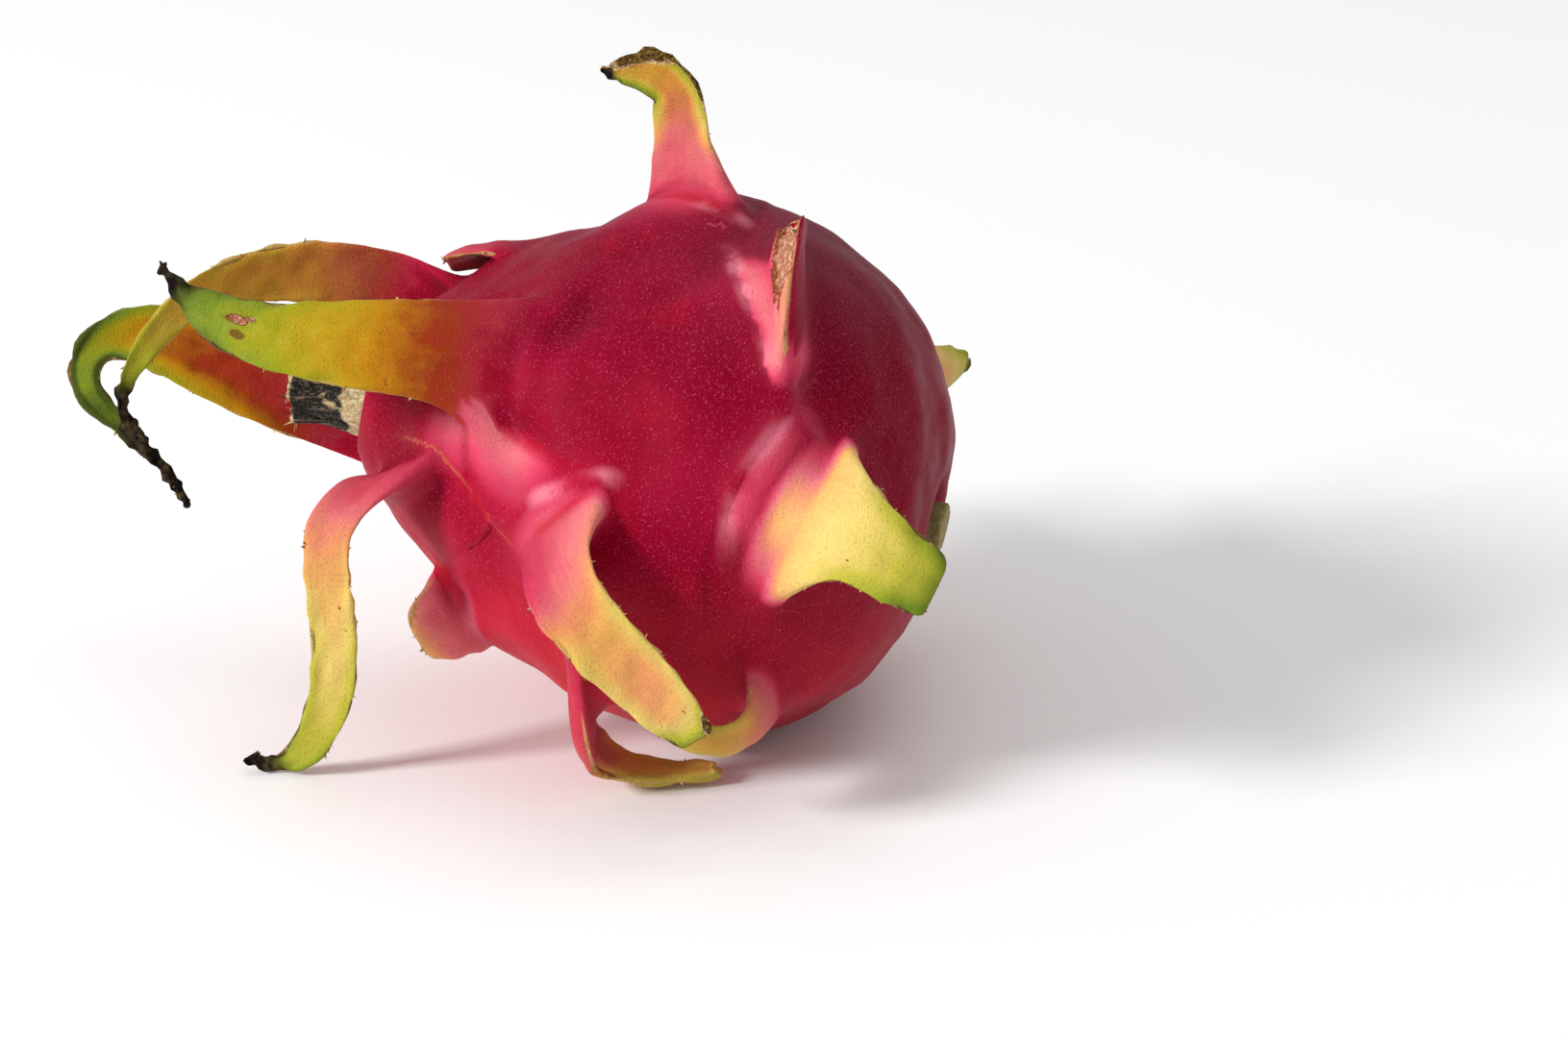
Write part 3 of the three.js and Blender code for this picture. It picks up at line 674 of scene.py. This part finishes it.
for line, left, right, marks in FOLDS:
    distance, share = beside(line, place, normal)
    starting = smooth(share, 0, FOLD_ENDS[0])
    strength = starting * fade(share, FOLD_ENDS[1], 1) * fade(blade, 0.1, 0.9)
    sides = [rise * np.exp(-np.abs(distance) / spread) for rise, spread in (right, left)]
    height += strength * mix(*sides, smooth(distance, -FOLD_SOFTNESS, FOLD_SOFTNESS))
    for name in lines.keys() & marks.keys():
        reached = np.abs(distance) - LINE_WIDTHS[name]
        closer = (np.abs(distance) < np.abs(lines[name][:, 0])) & (reached < LINE_REACH[1])
        lines[name][closer, 0] = distance[closer]
        lines[name][closer, 1] = (marks[name] * strength * fade(reached, *LINE_REACH))[closer]
    brightness, spread = marks.get("glow", (0, 1))
    run = starting * fade(share, GLOW_END, 1)
    glow = np.maximum(glow, brightness * run * smooth(-distance, *GLOW_EDGE) * bell(distance / spread))
ripeness = np.maximum(mix(flush, ripeness, smooth(blade, 0, 0.5)), glow)
olive *= fade(glow, 0.02, 0.12)
height = averaged((height * smooth(room, *EDGE_ROOMY))[:, None], 2)[:, 0]
height += blade * BLADE_WAVE * ripple(place, 4.5, 3) * smooth(share_out, 0.1, 0.4)
margin = fade(rim_mm, 0, MARGIN_BREADTH) * smooth(share_out, 0.12, 0.4)
height += margin * MARGIN_WAVE * ripple(place, 6, 4) * np.sign(side)
height += dead * TIP_WAVE * ripple(place, 2.2, 5)

# Scars: what it is and on which bract, mm out from its root, where across it from -1 to 1, half the scar's
# length and breadth in mm, and 1 where it is only on the nose side, -1 where it is only on the stem side. A
# wound is where the skin was torn away, a crust where an edge has dried brown, and specks are dead skin.
SCARS = [
    ("wound", "shoulder", 8, 0.1, 6.5, 9, 1),
    ("wound", "leaf", 44.8, 0.15, 2.2, 0.7, -1),
    ("wound", "leaf", 42.5, 0.3, 0.9, 0.5, -1),
    ("crust", "crown", 25, -0.95, 5.5, 2.2, 0),
    ("crust", "crown", 18, -1.05, 4.5, 0.8, 0),
    ("crust", "apron", 42, 0.95, 2.6, 1.2, 0),
    ("speck", "leaf", 43.8, -0.3, 1.5, 0.9, 0),
    ("speck", "leaf", 17, 0.15, 0.8, 0.35, 0),
    ("speck", "leaf", 15.5, 0.2, 0.7, 0.4, 0),
    ("speck", "leaf", 24.5, -0.2, 0.3, 0.3, 0),
    ("speck", "leaf", 34, 0.5, 0.3, 0.25, 0),
    ("speck", "arch", 52, 0.5, 1.2, 0.4, 0),
    ("speck", "arch", 45, 0.1, 0.4, 0.3, 0),
    ("speck", "apron", 34, -0.3, 0.4, 0.3, 0),
    ("speck", "apron", 20, 0.4, 0.4, 0.3, 0),
    ("speck", "middle", 12, -0.5, 0.5, 0.4, 0),
    ("speck", "strap", 30, 0.4, 0.5, 0.3, 0),
]
names = [bract.name for bract in BRACTS]
FAR = 4.0
# Of each kind: 0 in the middle of a scar, 1 at its edge, and this far at most away from it.
scars = {kind: np.full(len(place), FAR) for kind in ("wound", "crust", "speck")}
for kind, name, scar_out, scar_across, half_length, half_width, only in SCARS:
    mine = owner == names.index(name) + 1
    along_scar = (out[mine] - scar_out) / half_length
    across_scar = (across[mine] - scar_across) * half_breadth[mine] / half_width
    distance = np.hypot(along_scar, across_scar) + FAR * smooth(-side[mine] * only, 0, 0.4)
    scars[kind][mine] = np.minimum(scars[kind][mine], distance)
torn, crusted = (fade(scars[kind], 0.8, 1.0) for kind in ("wound", "crust"))
height += 0.3 * bell((scars["wound"] - 1.1) / 0.2) - torn * (0.5 + 0.25 * ripple(place, 1.6, 6))
height += crusted * 0.35 * ripple(place, 2.4, 8)
place = place + normal * height[:, None]

# Crests and hollows, from how far each vertex stands out from a smoothed copy of the skin.
bulge = ((place - averaged(place, 14)) * normal).sum(1)

place = SEAT + place @ AXES
place[:, 2] = np.maximum(place[:, 2], 0)
skin_mesh.vertices.foreach_set("co", (place * MM).ravel().astype(np.float32))
for name in CARRIED:
    skin_mesh.attributes.remove(skin_mesh.attributes[name])
painted = dict(ripe=ripeness, olive=olive, dead=dead, edge_line=edge_line, bulge=bulge, blade=blade)
for name, values in dict(grain=grain, **painted, **scars, **lines).items():
    write(skin_mesh, name, values)
skin_mesh.shade_smooth()
skin_mesh.update()


def shade(red, green, blue):
    """A colour by its screen numbers, from 0 to 255."""
    shares = (number / 255 for number in (red, green, blue))
    return tuple((v / 12.92 if v <= 10 / 255 else ((v + 0.055) / 1.055) ** 2.4) for v in shares) + (1,)


class Wire:
    """A value in a net of nodes. Sums and products of such values become Math nodes."""

    def __init__(self, net, socket):
        self.net, self.socket = net, socket

    def math(self, operation, first, second=0.0):
        return self.net.add("ShaderNodeMath", {0: first, 1: second}, operation=operation)

    def __add__(self, other):
        return self.math("ADD", self, other)

    def __sub__(self, other):
        return self.math("SUBTRACT", self, other)

    def __rsub__(self, other):
        return self.math("SUBTRACT", other, self)

    def __mul__(self, other):
        return self.math("MULTIPLY", self, other)

    def __truediv__(self, other):
        return self.math("DIVIDE", self, other)

    __radd__, __rmul__ = __add__, __mul__

    def rise(self, low, high):
        """0 below low and 1 above high, or the other way round where low is the higher."""
        limits = {"Value": self, "From Min": low, "From Max": high}
        return self.net.add("ShaderNodeMapRange", limits, interpolation_type="SMOOTHSTEP")

    def part(self, number):
        """One of the three numbers of a vector."""
        return self.net.add("ShaderNodeSeparateXYZ", {0: self}, output=number)


class Net:
    """A tree of nodes, and the one way that nodes are added to it."""

    def __init__(self, tree):
        self.tree = tree

    def add(self, kind, inputs=None, output=0, stops=(), **settings):
        node = self.tree.nodes.new(kind)
        for name, value in settings.items():
            setattr(node, name, value)
        for number, (position, *tone) in enumerate(stops):
            stages = node.color_ramp.elements
            stage = stages[number] if number < len(stages) else stages.new(1)
            stage.position, stage.color = position, shade(*tone)
        for key, value in (inputs or {}).items():
            self.feed(node.inputs[key], value)
        return Wire(self, node.outputs[output] if node.outputs else None)

    def feed(self, socket, value):
        if isinstance(value, Wire):
            self.tree.links.new(value.socket, socket)
        else:
            socket.default_value = value


class Finish(Net):
    """A material in the making, and its colour so far."""

    def __init__(self, name, **constants):
        self.material = bpy.data.materials.new(name)
        self.material.use_nodes = True
        super().__init__(self.material.node_tree)
        self.shader = self.tree.nodes["Principled BSDF"]
        for key, value in constants.items():
            self.shader.inputs[key.replace("_", " ")].default_value = value
        self.place = self.add("ShaderNodeTexCoord", output=3)

    def value(self, attribute):
        return self.add("ShaderNodeAttribute", output=2, attribute_name=attribute)

    def vector(self, attribute):
        return self.add("ShaderNodeAttribute", output=1, attribute_name=attribute)

    def noise(self, size, detail=3, place=None, roughness=0.5):
        inputs = {"Vector": place or self.place, "Scale": 1 / size, "Detail": detail, "Roughness": roughness}
        return self.add("ShaderNodeTexNoise", inputs)

    def blend(self, share, first, second, how="MIX"):
        """Of two colours, given by screen numbers or by wires, this share of the second."""
        first, second = (tone if isinstance(tone, Wire) else shade(*tone) for tone in (first, second))
        inputs = {0: share, 6: first, 7: second}
        return self.add("ShaderNodeMix", inputs, output=2, data_type="RGBA", blend_type=how)

    def tint(self, share, tone, how="MIX"):
        """Brings the colour so far this share of the way to another."""
        self.colour = self.blend(share, self.colour, tone, how)

    def finish(self, roughness, height, depth):
        """Joins up the shader: its height map is in units of depth, in metres."""
        normal = self.add("ShaderNodeBump", {"Height": height, "Strength": 1.0, "Distance": depth})
        for key, value in {"Base Color": self.colour, "Roughness": roughness, "Normal": normal}.items():
            self.feed(self.shader.inputs[key], value)
        return self.material


# The colours that a bract ripens through, each with its place from crimson to green.
PINK_RIPENING = [
    (0.0, 138, 0, 30), (0.1, 164, 14, 48), (0.22, 212, 72, 100), (0.33, 228, 120, 128),
    (0.42, 230, 146, 110), (0.5, 232, 174, 108), (0.6, 230, 200, 118), (0.74, 190, 180, 66),
    (0.88, 144, 154, 42), (1.0, 104, 130, 34),
]
OLIVE_RIPENING = [
    (0.0, 138, 0, 30), (0.12, 156, 22, 32), (0.28, 148, 58, 12), (0.44, 178, 122, 16),
    (0.58, 172, 144, 24), (0.72, 148, 148, 26), (0.86, 118, 138, 40), (1.0, 70, 86, 28),
]

skin = Finish(
    "fruit_skin", Specular_IOR_Level=0.09, Specular_Tint=(1.0, 0.3, 0.45, 1),
    Sheen_Weight=0.03, Sheen_Roughness=0.35, Sheen_Tint=(0.72, 0.66, 1.0, 1),
)
ripe = skin.value("ripe")
brown = skin.value("olive")
blade_share = skin.value("blade")
bulge_mm = skin.value("bulge")
cloud = skin.noise(0.012, 4)
fine_cloud = skin.noise(0.0022, 4)
streak = skin.noise(1.3, 4, skin.vector("grain"), 0.6)
marbling = skin.noise(0.004, 4, roughness=0.6)
ripe_here = ripe + (cloud - 0.5) * 0.18 + (marbling - 0.5) * brown * 0.2 + (streak - 0.5) * 0.07 * blade_share
pink, olive_green = (
    skin.add("ShaderNodeValToRGB", {0: ripe_here}, stops=stops) for stops in (PINK_RIPENING, OLIVE_RIPENING)
)
skin.colour = skin.blend(brown * ripe.rise(0.02, 0.25), pink, olive_green)


def line_of(name, softness):
    """How much of a line of this kind is here, from how far away it is and its strength."""
    distance = skin.vector(name).part(0) / LINE_WIDTHS[name]
    return distance.math("ABSOLUTE", distance).rise(1 + softness, 1 - softness) * skin.vector(name).part(1)


# Painted shade over the top, a painted purple-grey sheen high up towards the stem, a painted pool
# of light on the belly, light and dark clouds of the skin's own tone, painted shade in hollows and pits,
# redder creases, painted highlights on crests and crest lines, and painted shade towards the stem end.
red_part = ripe.rise(0.45, 0.15)
crimson = ripe.rise(0.22, 0.1) * (1 - blade_share)
stemward, lift = skin.place.part(0), skin.place.part(2)
# Painted shade: the top of the fruit darker and purpler.
skin.tint(lift.rise(0.055, 0.095) * crimson * 0.5, (84, 4, 34))
# Painted sheen: a purple grey high up towards the stem end.
skin.tint(lift.rise(0.065, 0.095) * stemward.rise(0.03, 0.055) * crimson * 0.5, (90, 36, 54))
# Painted light from below: the belly lighter and warmer.
skin.tint(lift.rise(0.048, 0.018) * crimson * 0.6, (228, 50, 64))
skin.tint(cloud.rise(0.4, 0.7) * red_part * 0.4, (118, 0, 26))
skin.tint(cloud.rise(0.45, 0.25) * red_part * 0.3, (170, 14, 30))
# Painted shade in the hollows of the skin.
skin.tint(bulge_mm.rise(0.0, -0.8) * (1 - blade_share) * 0.3, (92, 0, 18))
# Painted highlights on the crests of the skin.
skin.tint(bulge_mm.rise(0.15, 0.9) * red_part * 0.3, (196, 34, 80))
# Painted highlights along crest lines, with a paler painted highlight in their cores.
skin.tint(line_of("painted_highlight", 0.95) * cloud.rise(0.3, 0.6) * 0.9, (242, 112, 138))
skin.tint(line_of("painted_highlight", 0.7) * cloud.rise(0.4, 0.55) * 0.5, (252, 176, 190))
skin.tint(line_of("red", 0.9) * 0.6, (178, 12, 28))
# Painted shade in pits.
skin.tint(line_of("dark", 1.0) * 0.6, (84, 0, 20))
# Painted shade towards the stem end.
skin.tint(stemward.rise(0.02, 0.06) * crimson * 0.5, (104, 0, 26))
# Fine pale pores, all over the red of the fruit and thinning out towards the green.
PORES = 1650.0  # in each metre
pore_inputs = {"Vector": skin.place, "Scale": PORES, "Randomness": 1.0}
pore_distance = skin.add("ShaderNodeTexVoronoi", pore_inputs)
pore_draw = skin.add("ShaderNodeSeparateColor", {0: skin.add("ShaderNodeTexVoronoi", pore_inputs, output=1)})
pore = pore_distance.rise(0.3, 0.1) * pore_draw.rise(-0.3, 1.1)
leather = skin.noise(0.0004, 1).rise(0.52, 0.74)
skin.tint(leather * red_part * 0.3, (222, 40, 88))
skin.tint(pore * red_part * 0.46, (240, 104, 136))
# Fibres that run along each bract, its dried edge, and its withered tip.
skin.tint(blade_share * streak.rise(0.5, 0.75) * 0.14, (250, 225, 170), "SOFT_LIGHT")
edge = skin.value("edge_line")
dry_edge = edge.rise(0.4, 0.8) * skin.noise(0.0025, 3).rise(0.32, 0.5)
skin.tint(dry_edge * 0.8, (188, 156, 98))
skin.tint(edge.rise(0.6, 0.95) * fine_cloud.rise(0.54, 0.66) * 0.8, (104, 64, 28))
skin.tint(line_of("dry", 0.8) * cloud.rise(0.35, 0.5) * fine_cloud.rise(0.3, 0.5), (186, 98, 74))
skin.tint(edge.rise(0.3, 0.75) * ripe.rise(0.66, 0.84) * fine_cloud.rise(0.3, 0.45) * 0.8, (72, 50, 22))
withered = skin.value("dead")
skin.tint(withered, skin.blend(fine_cloud.rise(0.45, 0.7), (18, 18, 14), (74, 64, 42)))
# A wound is pale and fibrous inside a brown rim; a crust is dark brown inside a torn, pale one.
wobble = (skin.noise(0.0014, 4) - 0.5) * 0.6
wound = skin.value("wound") + wobble
crust = skin.value("crust") + wobble * 1.4
fibre = skin.noise(0.0006, 5).rise(0.35, 0.65)
skin.tint(wound.rise(1.08, 0.98), skin.blend(fibre, (178, 104, 72), (230, 176, 144)))
skin.tint(wound.rise(0.84, 0.95) * wound.rise(1.12, 1.02) * 0.9, (140, 66, 20))
skin.tint(crust.rise(1.05, 0.95), skin.blend(fibre, (62, 44, 16), (132, 106, 44)))
skin.tint(crust.rise(0.84, 0.92) * crust.rise(1.14, 1.06) * 0.9, (214, 184, 134))
skin.tint((skin.value("speck") + wobble).rise(1.1, 0.8) * 0.8, (96, 54, 24))
spots = skin.noise(0.0016, 2).rise(0.7, 0.76) * skin.noise(0.007, 2).rise(0.5, 0.62) * blade_share
skin.tint(spots * 0.75, (96, 56, 20))
bare = wound.rise(1.08, 0.98)
rough_skin = fine_cloud * 0.14 + withered * 0.3 + dry_edge * 0.3 + bare * 0.3
height = pore * 0.6 + leather * 0.5 + fine_cloud * 0.5 + streak * blade_share * 0.8
height = height + withered * fine_cloud * 3.0 + (bare + crust.rise(1.05, 0.95)) * fibre * 3.0
SKIN_GRAIN = 0.00015
skin_mesh.materials.append(skin.finish(rough_skin + 0.4, height, SKIN_GRAIN))

fruit = in_scene("fruit_skin", skin_mesh)
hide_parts("fruit")
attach(fruit, "root")

# ---- Dried flakes on the edges of the bracts ---------------------------------------------------------------
# Where the thin edge of a bract has dried, it breaks up into small papery flakes that stay hanging from it.
# Each is a flat sliver that stands out from the edge, leaning its own way.
SLIVER = {"Vertices": 6, "Radius Top": 0.1, "Radius Bottom": 0.5, "Depth": 1.0}
SLIVER_SUNK = 0.25  # how much of its length a sliver is let into the edge
SLIVER_LEAN = (0.7, 0.7, 3.1)  # radians either way, the last about its own length
SLIVER_GROWTH = (0.4, 1.3)
PATCHES = 260.0  # in each metre


def grow_slivers(name, surface, attribute, densest, size, finish):
    """Slivers all over a surface where an attribute of it is high. densest is the value at which they stand
    thickest and how many a square metre has there; size is a sliver's length, breadth and thickness in mm."""
    tree = bpy.data.node_groups.new(name, "GeometryNodeTree")
    length, breadth, thickness = (side * MM for side in size)
    given = {"Length": length, "Breadth": breadth, "Thickness": thickness, "Seed": 5, "Material": finish}
    given["Full At"], given["Density"] = densest
    kinds = {"Surface": "Geometry", "Seed": "Int", "Material": "Material"}
    sockets = {}
    for socket in ("Surface", *given):
        kind = "NodeSocket" + kinds.get(socket, "Float")
        sockets[socket] = tree.interface.new_socket(socket, in_out="INPUT", socket_type=kind)
    tree.interface.new_socket("Slivers", in_out="OUTPUT", socket_type="NodeSocketGeometry")
    net = Net(tree)
    group_input = net.add("NodeGroupInput").socket.node
    value = {socket: Wire(net, group_input.outputs[socket]) for socket in sockets}

    amount = net.add("GeometryNodeInputNamedAttribute", {"Name": attribute}, data_type="FLOAT")
    patches = net.add("ShaderNodeTexNoise", {"Scale": PATCHES, "Detail": 2.0}).rise(0.42, 0.6)
    limits = {"Value": amount, "From Min": value["Full At"] - 0.2, "From Max": value["Full At"]}
    density = value["Density"] * net.add("ShaderNodeMapRange", limits) * patches
    spread = {"Mesh": value["Surface"], "Density": density, "Seed": value["Seed"]}
    dots = net.add("GeometryNodeDistributePointsOnFaces", spread, distribute_method="RANDOM")
    upright = Wire(net, dots.socket.node.outputs["Rotation"])
    cone = {0: net.add("GeometryNodeMeshCone", SLIVER), "Translation": (0, 0, -SLIVER_SUNK)}
    draw = {"Min": [-angle for angle in SLIVER_LEAN], "Max": SLIVER_LEAN, "Seed": value["Seed"]}
    lean = net.add("FunctionNodeRandomValue", draw, data_type="FLOAT_VECTOR")
    sizes = {0: value["Breadth"], 1: value["Thickness"], 2: value["Length"]}
    draw = {2: SLIVER_GROWTH[0], 3: SLIVER_GROWTH[1], "Seed": value["Seed"] + 1}
    growth = net.add("FunctionNodeRandomValue", draw, output=1, data_type="FLOAT")
    scale = {0: net.add("ShaderNodeCombineXYZ", sizes), "Scale": growth}
    placed = {
        "Points": dots,
        "Instance": net.add("GeometryNodeTransform", cone),
        "Rotation": net.add("FunctionNodeRotateRotation", {0: upright, 1: lean}, rotation_space="LOCAL"),
        "Scale": net.add("ShaderNodeVectorMath", scale, operation="SCALE"),
    }
    whole = net.add("GeometryNodeRealizeInstances", {0: net.add("GeometryNodeInstanceOnPoints", placed)})
    whole = net.add("GeometryNodeSetMaterial", {"Geometry": whole, "Material": value["Material"]})
    net.add("NodeGroupOutput", {0: whole})

    thing = in_scene(name, surface.copy())
    grower = thing.modifiers.new("slivers", "NODES")
    grower.node_group = tree
    for socket, setting in given.items():
        grower[sockets[socket].identifier] = setting
    mesh = plain_mesh(thing)
    thing.modifiers.clear()
    thing.data = mesh
    return thing


def papery(name, gloss, patch_size, dark, light, roughness):
    """The finish of dry slivers, dark and light in patches."""
    finish = Finish(name, Specular_IOR_Level=gloss)
    tone = finish.noise(patch_size, 3)
    finish.colour = finish.blend(tone.rise(0.4, 0.6), dark, light)
    return finish.finish(roughness + tone * 0.2, finish.noise(0.0004, 3), 0.0001)


flake_finish = papery("dried_edge", 0.2, 0.004, (126, 86, 40), (206, 176, 122), 0.7)
flakes = grow_slivers("edge_flakes", skin_mesh, "edge_line", (0.9, 1.6e6), (0.8, 0.6, 0.14), flake_finish)
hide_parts("fruit")
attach(flakes, "root")

# ---- The dried foot of the flower ------------------------------------------------------------------------
# What is left of the flower stands in the hollow of the nose: a short tube of cream, papery tissue, cracked
# lengthwise, blackened towards its torn end.
FOOT = [
    [0, 94.3], [6.4, 94.4], [7.2, 95.4], [7.6, 98], [7.7, 101], [7.4, 104], [7.2, 107], [7.5, 109.6],
    [8.1, 112], [8.0, 112.8], [7.3, 112.9], [6.7, 111.6], [5.6, 110.2], [3.2, 109.2], [0, 108.8],
]
FOOT_SIDES = 120
# Each crack's azimuth in radians, its breadth in radians and its depth in mm.
CRACKS = ((0.3, 0.05, 0.7), (1.9, 0.04, 0.5), (3.1, 0.06, 0.8), (4.4, 0.05, 0.6), (5.5, 0.04, 0.7))


def turned_mesh(name, profile, sides, shape):
    """A closed shape turned round the fruit's axis: profile is [radius, station] from pole to pole, and shape
    gives each place its final radius and station."""
    _, line = smooth_line(profile, 6)
    line[[0, -1], 0] = 0
    middle = line[1:-1]
    angle = np.linspace(0, 2 * pi, sides, endpoint=False)
    radius, station = shape(middle[:, :1], middle[:, 1:], angle[None, :])
    rings = ring_point(station, radius, np.broadcast_to(angle, radius.shape))
    places = np.concatenate([rings.reshape(-1, 3), [[line[0, 1], 0, 0], [line[-1, 1], 0, 0]]])
    last = (len(middle) - 1) * sides
    start, end = len(places) - 2, len(places) - 1
    turned_faces = []
    for i in range(sides):
        j = (i + 1) % sides
        turned_faces += [(start, j, i), (end, last + i, last + j)]
        turned_faces += [(at + i, at + j, at + sides + j, at + sides + i) for at in range(0, last, sides)]
    mesh = bpy.data.meshes.new(name)
    mesh.from_pydata((SEAT + places @ AXES) * MM, [], turned_faces)
    write(mesh, "station", places[:, 0])
    mesh.shade_smooth()
    mesh.update()
    return mesh


def withered_foot(radius, station, angle):
    """The tube folded, cracked lengthwise and torn at its end."""
    fold = 0.03 * np.sin(6 * angle + 0.02 * station) + 0.02 * np.sin(10 * angle + 1)
    crack = 0.0
    for azimuth, breadth, depth in CRACKS:
        wander = azimuth + 0.12 * np.sin(0.9 * station + azimuth * 5)
        crack = crack + depth * bell(nearest(angle - wander) / breadth)
    torn = np.sin(3 * angle) + 0.6 * np.sin(7 * angle + 2) + 0.5 * np.sin(13 * angle + 4)
    torn = 0.28 * (torn + 0.3 * np.sin(29 * angle)) * np.maximum(0, station - 108.6) / 3
    return radius * (1 + fold) - crack * smooth(radius, 4, 6.5), station + torn


foot_mesh = turned_mesh("flower_foot", FOOT, FOOT_SIDES, withered_foot)
foot = Finish("dried_flower", Specular_IOR_Level=0.3)
station = foot.value("station")
patch = foot.noise(0.005, 5, roughness=0.65)
fine = foot.noise(0.0006, 4)
fibre_place = foot.add("ShaderNodeVectorMath", {0: foot.place, 1: (0.12, 1, 1)}, operation="MULTIPLY")
foot_fibre = foot.noise(0.0007, 3, fibre_place, 0.6)
black = (station + (patch - 0.5) * 24.0 + (foot_fibre - 0.5) * 5.0).rise(103.0, 105.0)
blackened = foot.blend(fine.rise(0.5, 0.66), (20, 18, 16), (84, 74, 58))
blackened = foot.blend(foot_fibre.rise(0.56, 0.68) * 0.7, blackened, (150, 132, 98))
foot.colour = foot.blend(patch.rise(0.35, 0.65), (196, 172, 126), (232, 214, 172))
foot.tint(fine.rise(0.45, 0.6) * 0.4, (140, 108, 66))
foot.tint(foot_fibre.rise(0.45, 0.36) * 0.6, (126, 92, 56))
foot.tint(black, blackened)
foot.tint(station.rise(112.2, 112.8) * 0.8, (214, 190, 140))
foot_mesh.materials.append(foot.finish(0.78 + fine * 0.15, patch + fine * 0.6 + foot_fibre, 0.0006))
foot_object = in_scene("flower_foot", foot_mesh)
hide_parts("flower_stub")
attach(foot_object, "root")

# Stiff fibres stand out of the torn end.
fibre_finish = papery("flower_fibres", 0.2, 0.003, (54, 44, 32), (206, 184, 138), 0.75)
fibres = grow_slivers("foot_fibres", foot_mesh, "station", (112.4, 1.2e6), (2.2, 0.3, 0.2), fibre_finish)
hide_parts("flower_stub")
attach(fibres, "root")

# ---- The cut stem ----------------------------------------------------------------------------------------
# The fruit was cut off with a few millimetres of its stem, which has dried to a ribbed, woody plug.
STEM = [
    [0, -1.8], [2.0, -1.75], [3.6, -1.7], [4.4, -1.2], [4.5, -0.6], [4.3, 1], [4.0, 2.6], [3.8, 3.8],
    [2, 3.9], [0, 3.9],
]
STEM_SIDES = 72


def ribbed_stem(radius, station, angle):
    rib = 0.05 * np.sin(3 * angle) + 0.02 * np.sin(11 * angle + 1)
    rings = 0.08 * np.sin(5.5 * radius) * smooth(-station, 1.2, 1.8)
    return radius * (1 + rib), station + rings


stem_mesh = turned_mesh("cut_stem", STEM, STEM_SIDES, ribbed_stem)
stem = Finish("cut_stem", Specular_IOR_Level=0.3)
patch = stem.noise(0.002, 5)
fine = stem.noise(0.0005, 3)
stem.colour = stem.blend(patch.rise(0.35, 0.65), (118, 112, 62), (150, 132, 84))
stem.tint(stem.value("station").rise(-1.2, -1.7) * 0.7, (178, 156, 112))
stem.tint(fine.rise(0.5, 0.65) * 0.5, (82, 64, 38))
stem_mesh.materials.append(stem.finish(0.75 + fine * 0.15, patch + fine * 0.6, 0.0004))
stem_object = in_scene("cut_stem", stem_mesh)
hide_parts("stem_stub")
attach(stem_object, "root")

# ---- Floor, light and camera -----------------------------------------------------------------------------
# A pale table, one large soft light from the left and a little fill from all round.
FLOOR_HALF = 4.0
FRUIT_MIDDLE = (0.02, -0.01, 0.05)
floor_mesh = bpy.data.meshes.new("floor")
floor_corners = [(-1, -1), (1, -1), (1, 1), (-1, 1)]
floor_mesh.from_pydata([(x * FLOOR_HALF, y * FLOOR_HALF, 0) for x, y in floor_corners], [], [(0, 1, 2, 3)])
floor_finish = Finish("pale_floor", Specular_IOR_Level=0.2, Base_Color=(0.94, 0.94, 0.94, 1), Roughness=0.8)
floor_mesh.materials.append(floor_finish.material)
floor_object = in_scene("floor", floor_mesh)

scene.world = bpy.data.worlds.new("studio")
scene.world.use_nodes = True
sky_light = scene.world.node_tree.nodes["Background"].inputs
sky_light["Color"].default_value = (1, 1, 1, 1)
sky_light["Strength"].default_value = 0.5


def aim(thing, position, target):
    """Puts a light or the camera somewhere, looking at a target."""
    back = unit(np.subtract(position, target))
    right = unit(np.cross([0, 0, 1], back))
    matrix = np.eye(4)
    matrix[:, :3] = right, np.cross(back, right), back, position
    thing.matrix_world = matrix.tolist()


# Each light's place, size and watts.
LIGHTS = {"key": ((-2.6, -2.0, 1.85), 0.9, 132.0), "sky": ((0.6, 0.8, 3.2), 2.4, 22.0)}
for name, (position, size, watts) in LIGHTS.items():
    light = bpy.data.lights.new(name, "AREA")
    light.size = size
    light.energy = watts
    aim(in_scene(name, light), position, FRUIT_MIDDLE)

camera = bpy.data.cameras.new("camera")
camera.lens = 70
scene.camera = in_scene("camera", camera)
aim(scene.camera, (0.14945, -0.48507, 0.21402), (0.04786, -0.00711, 0.03617))
scene.view_settings.view_transform = "Standard"
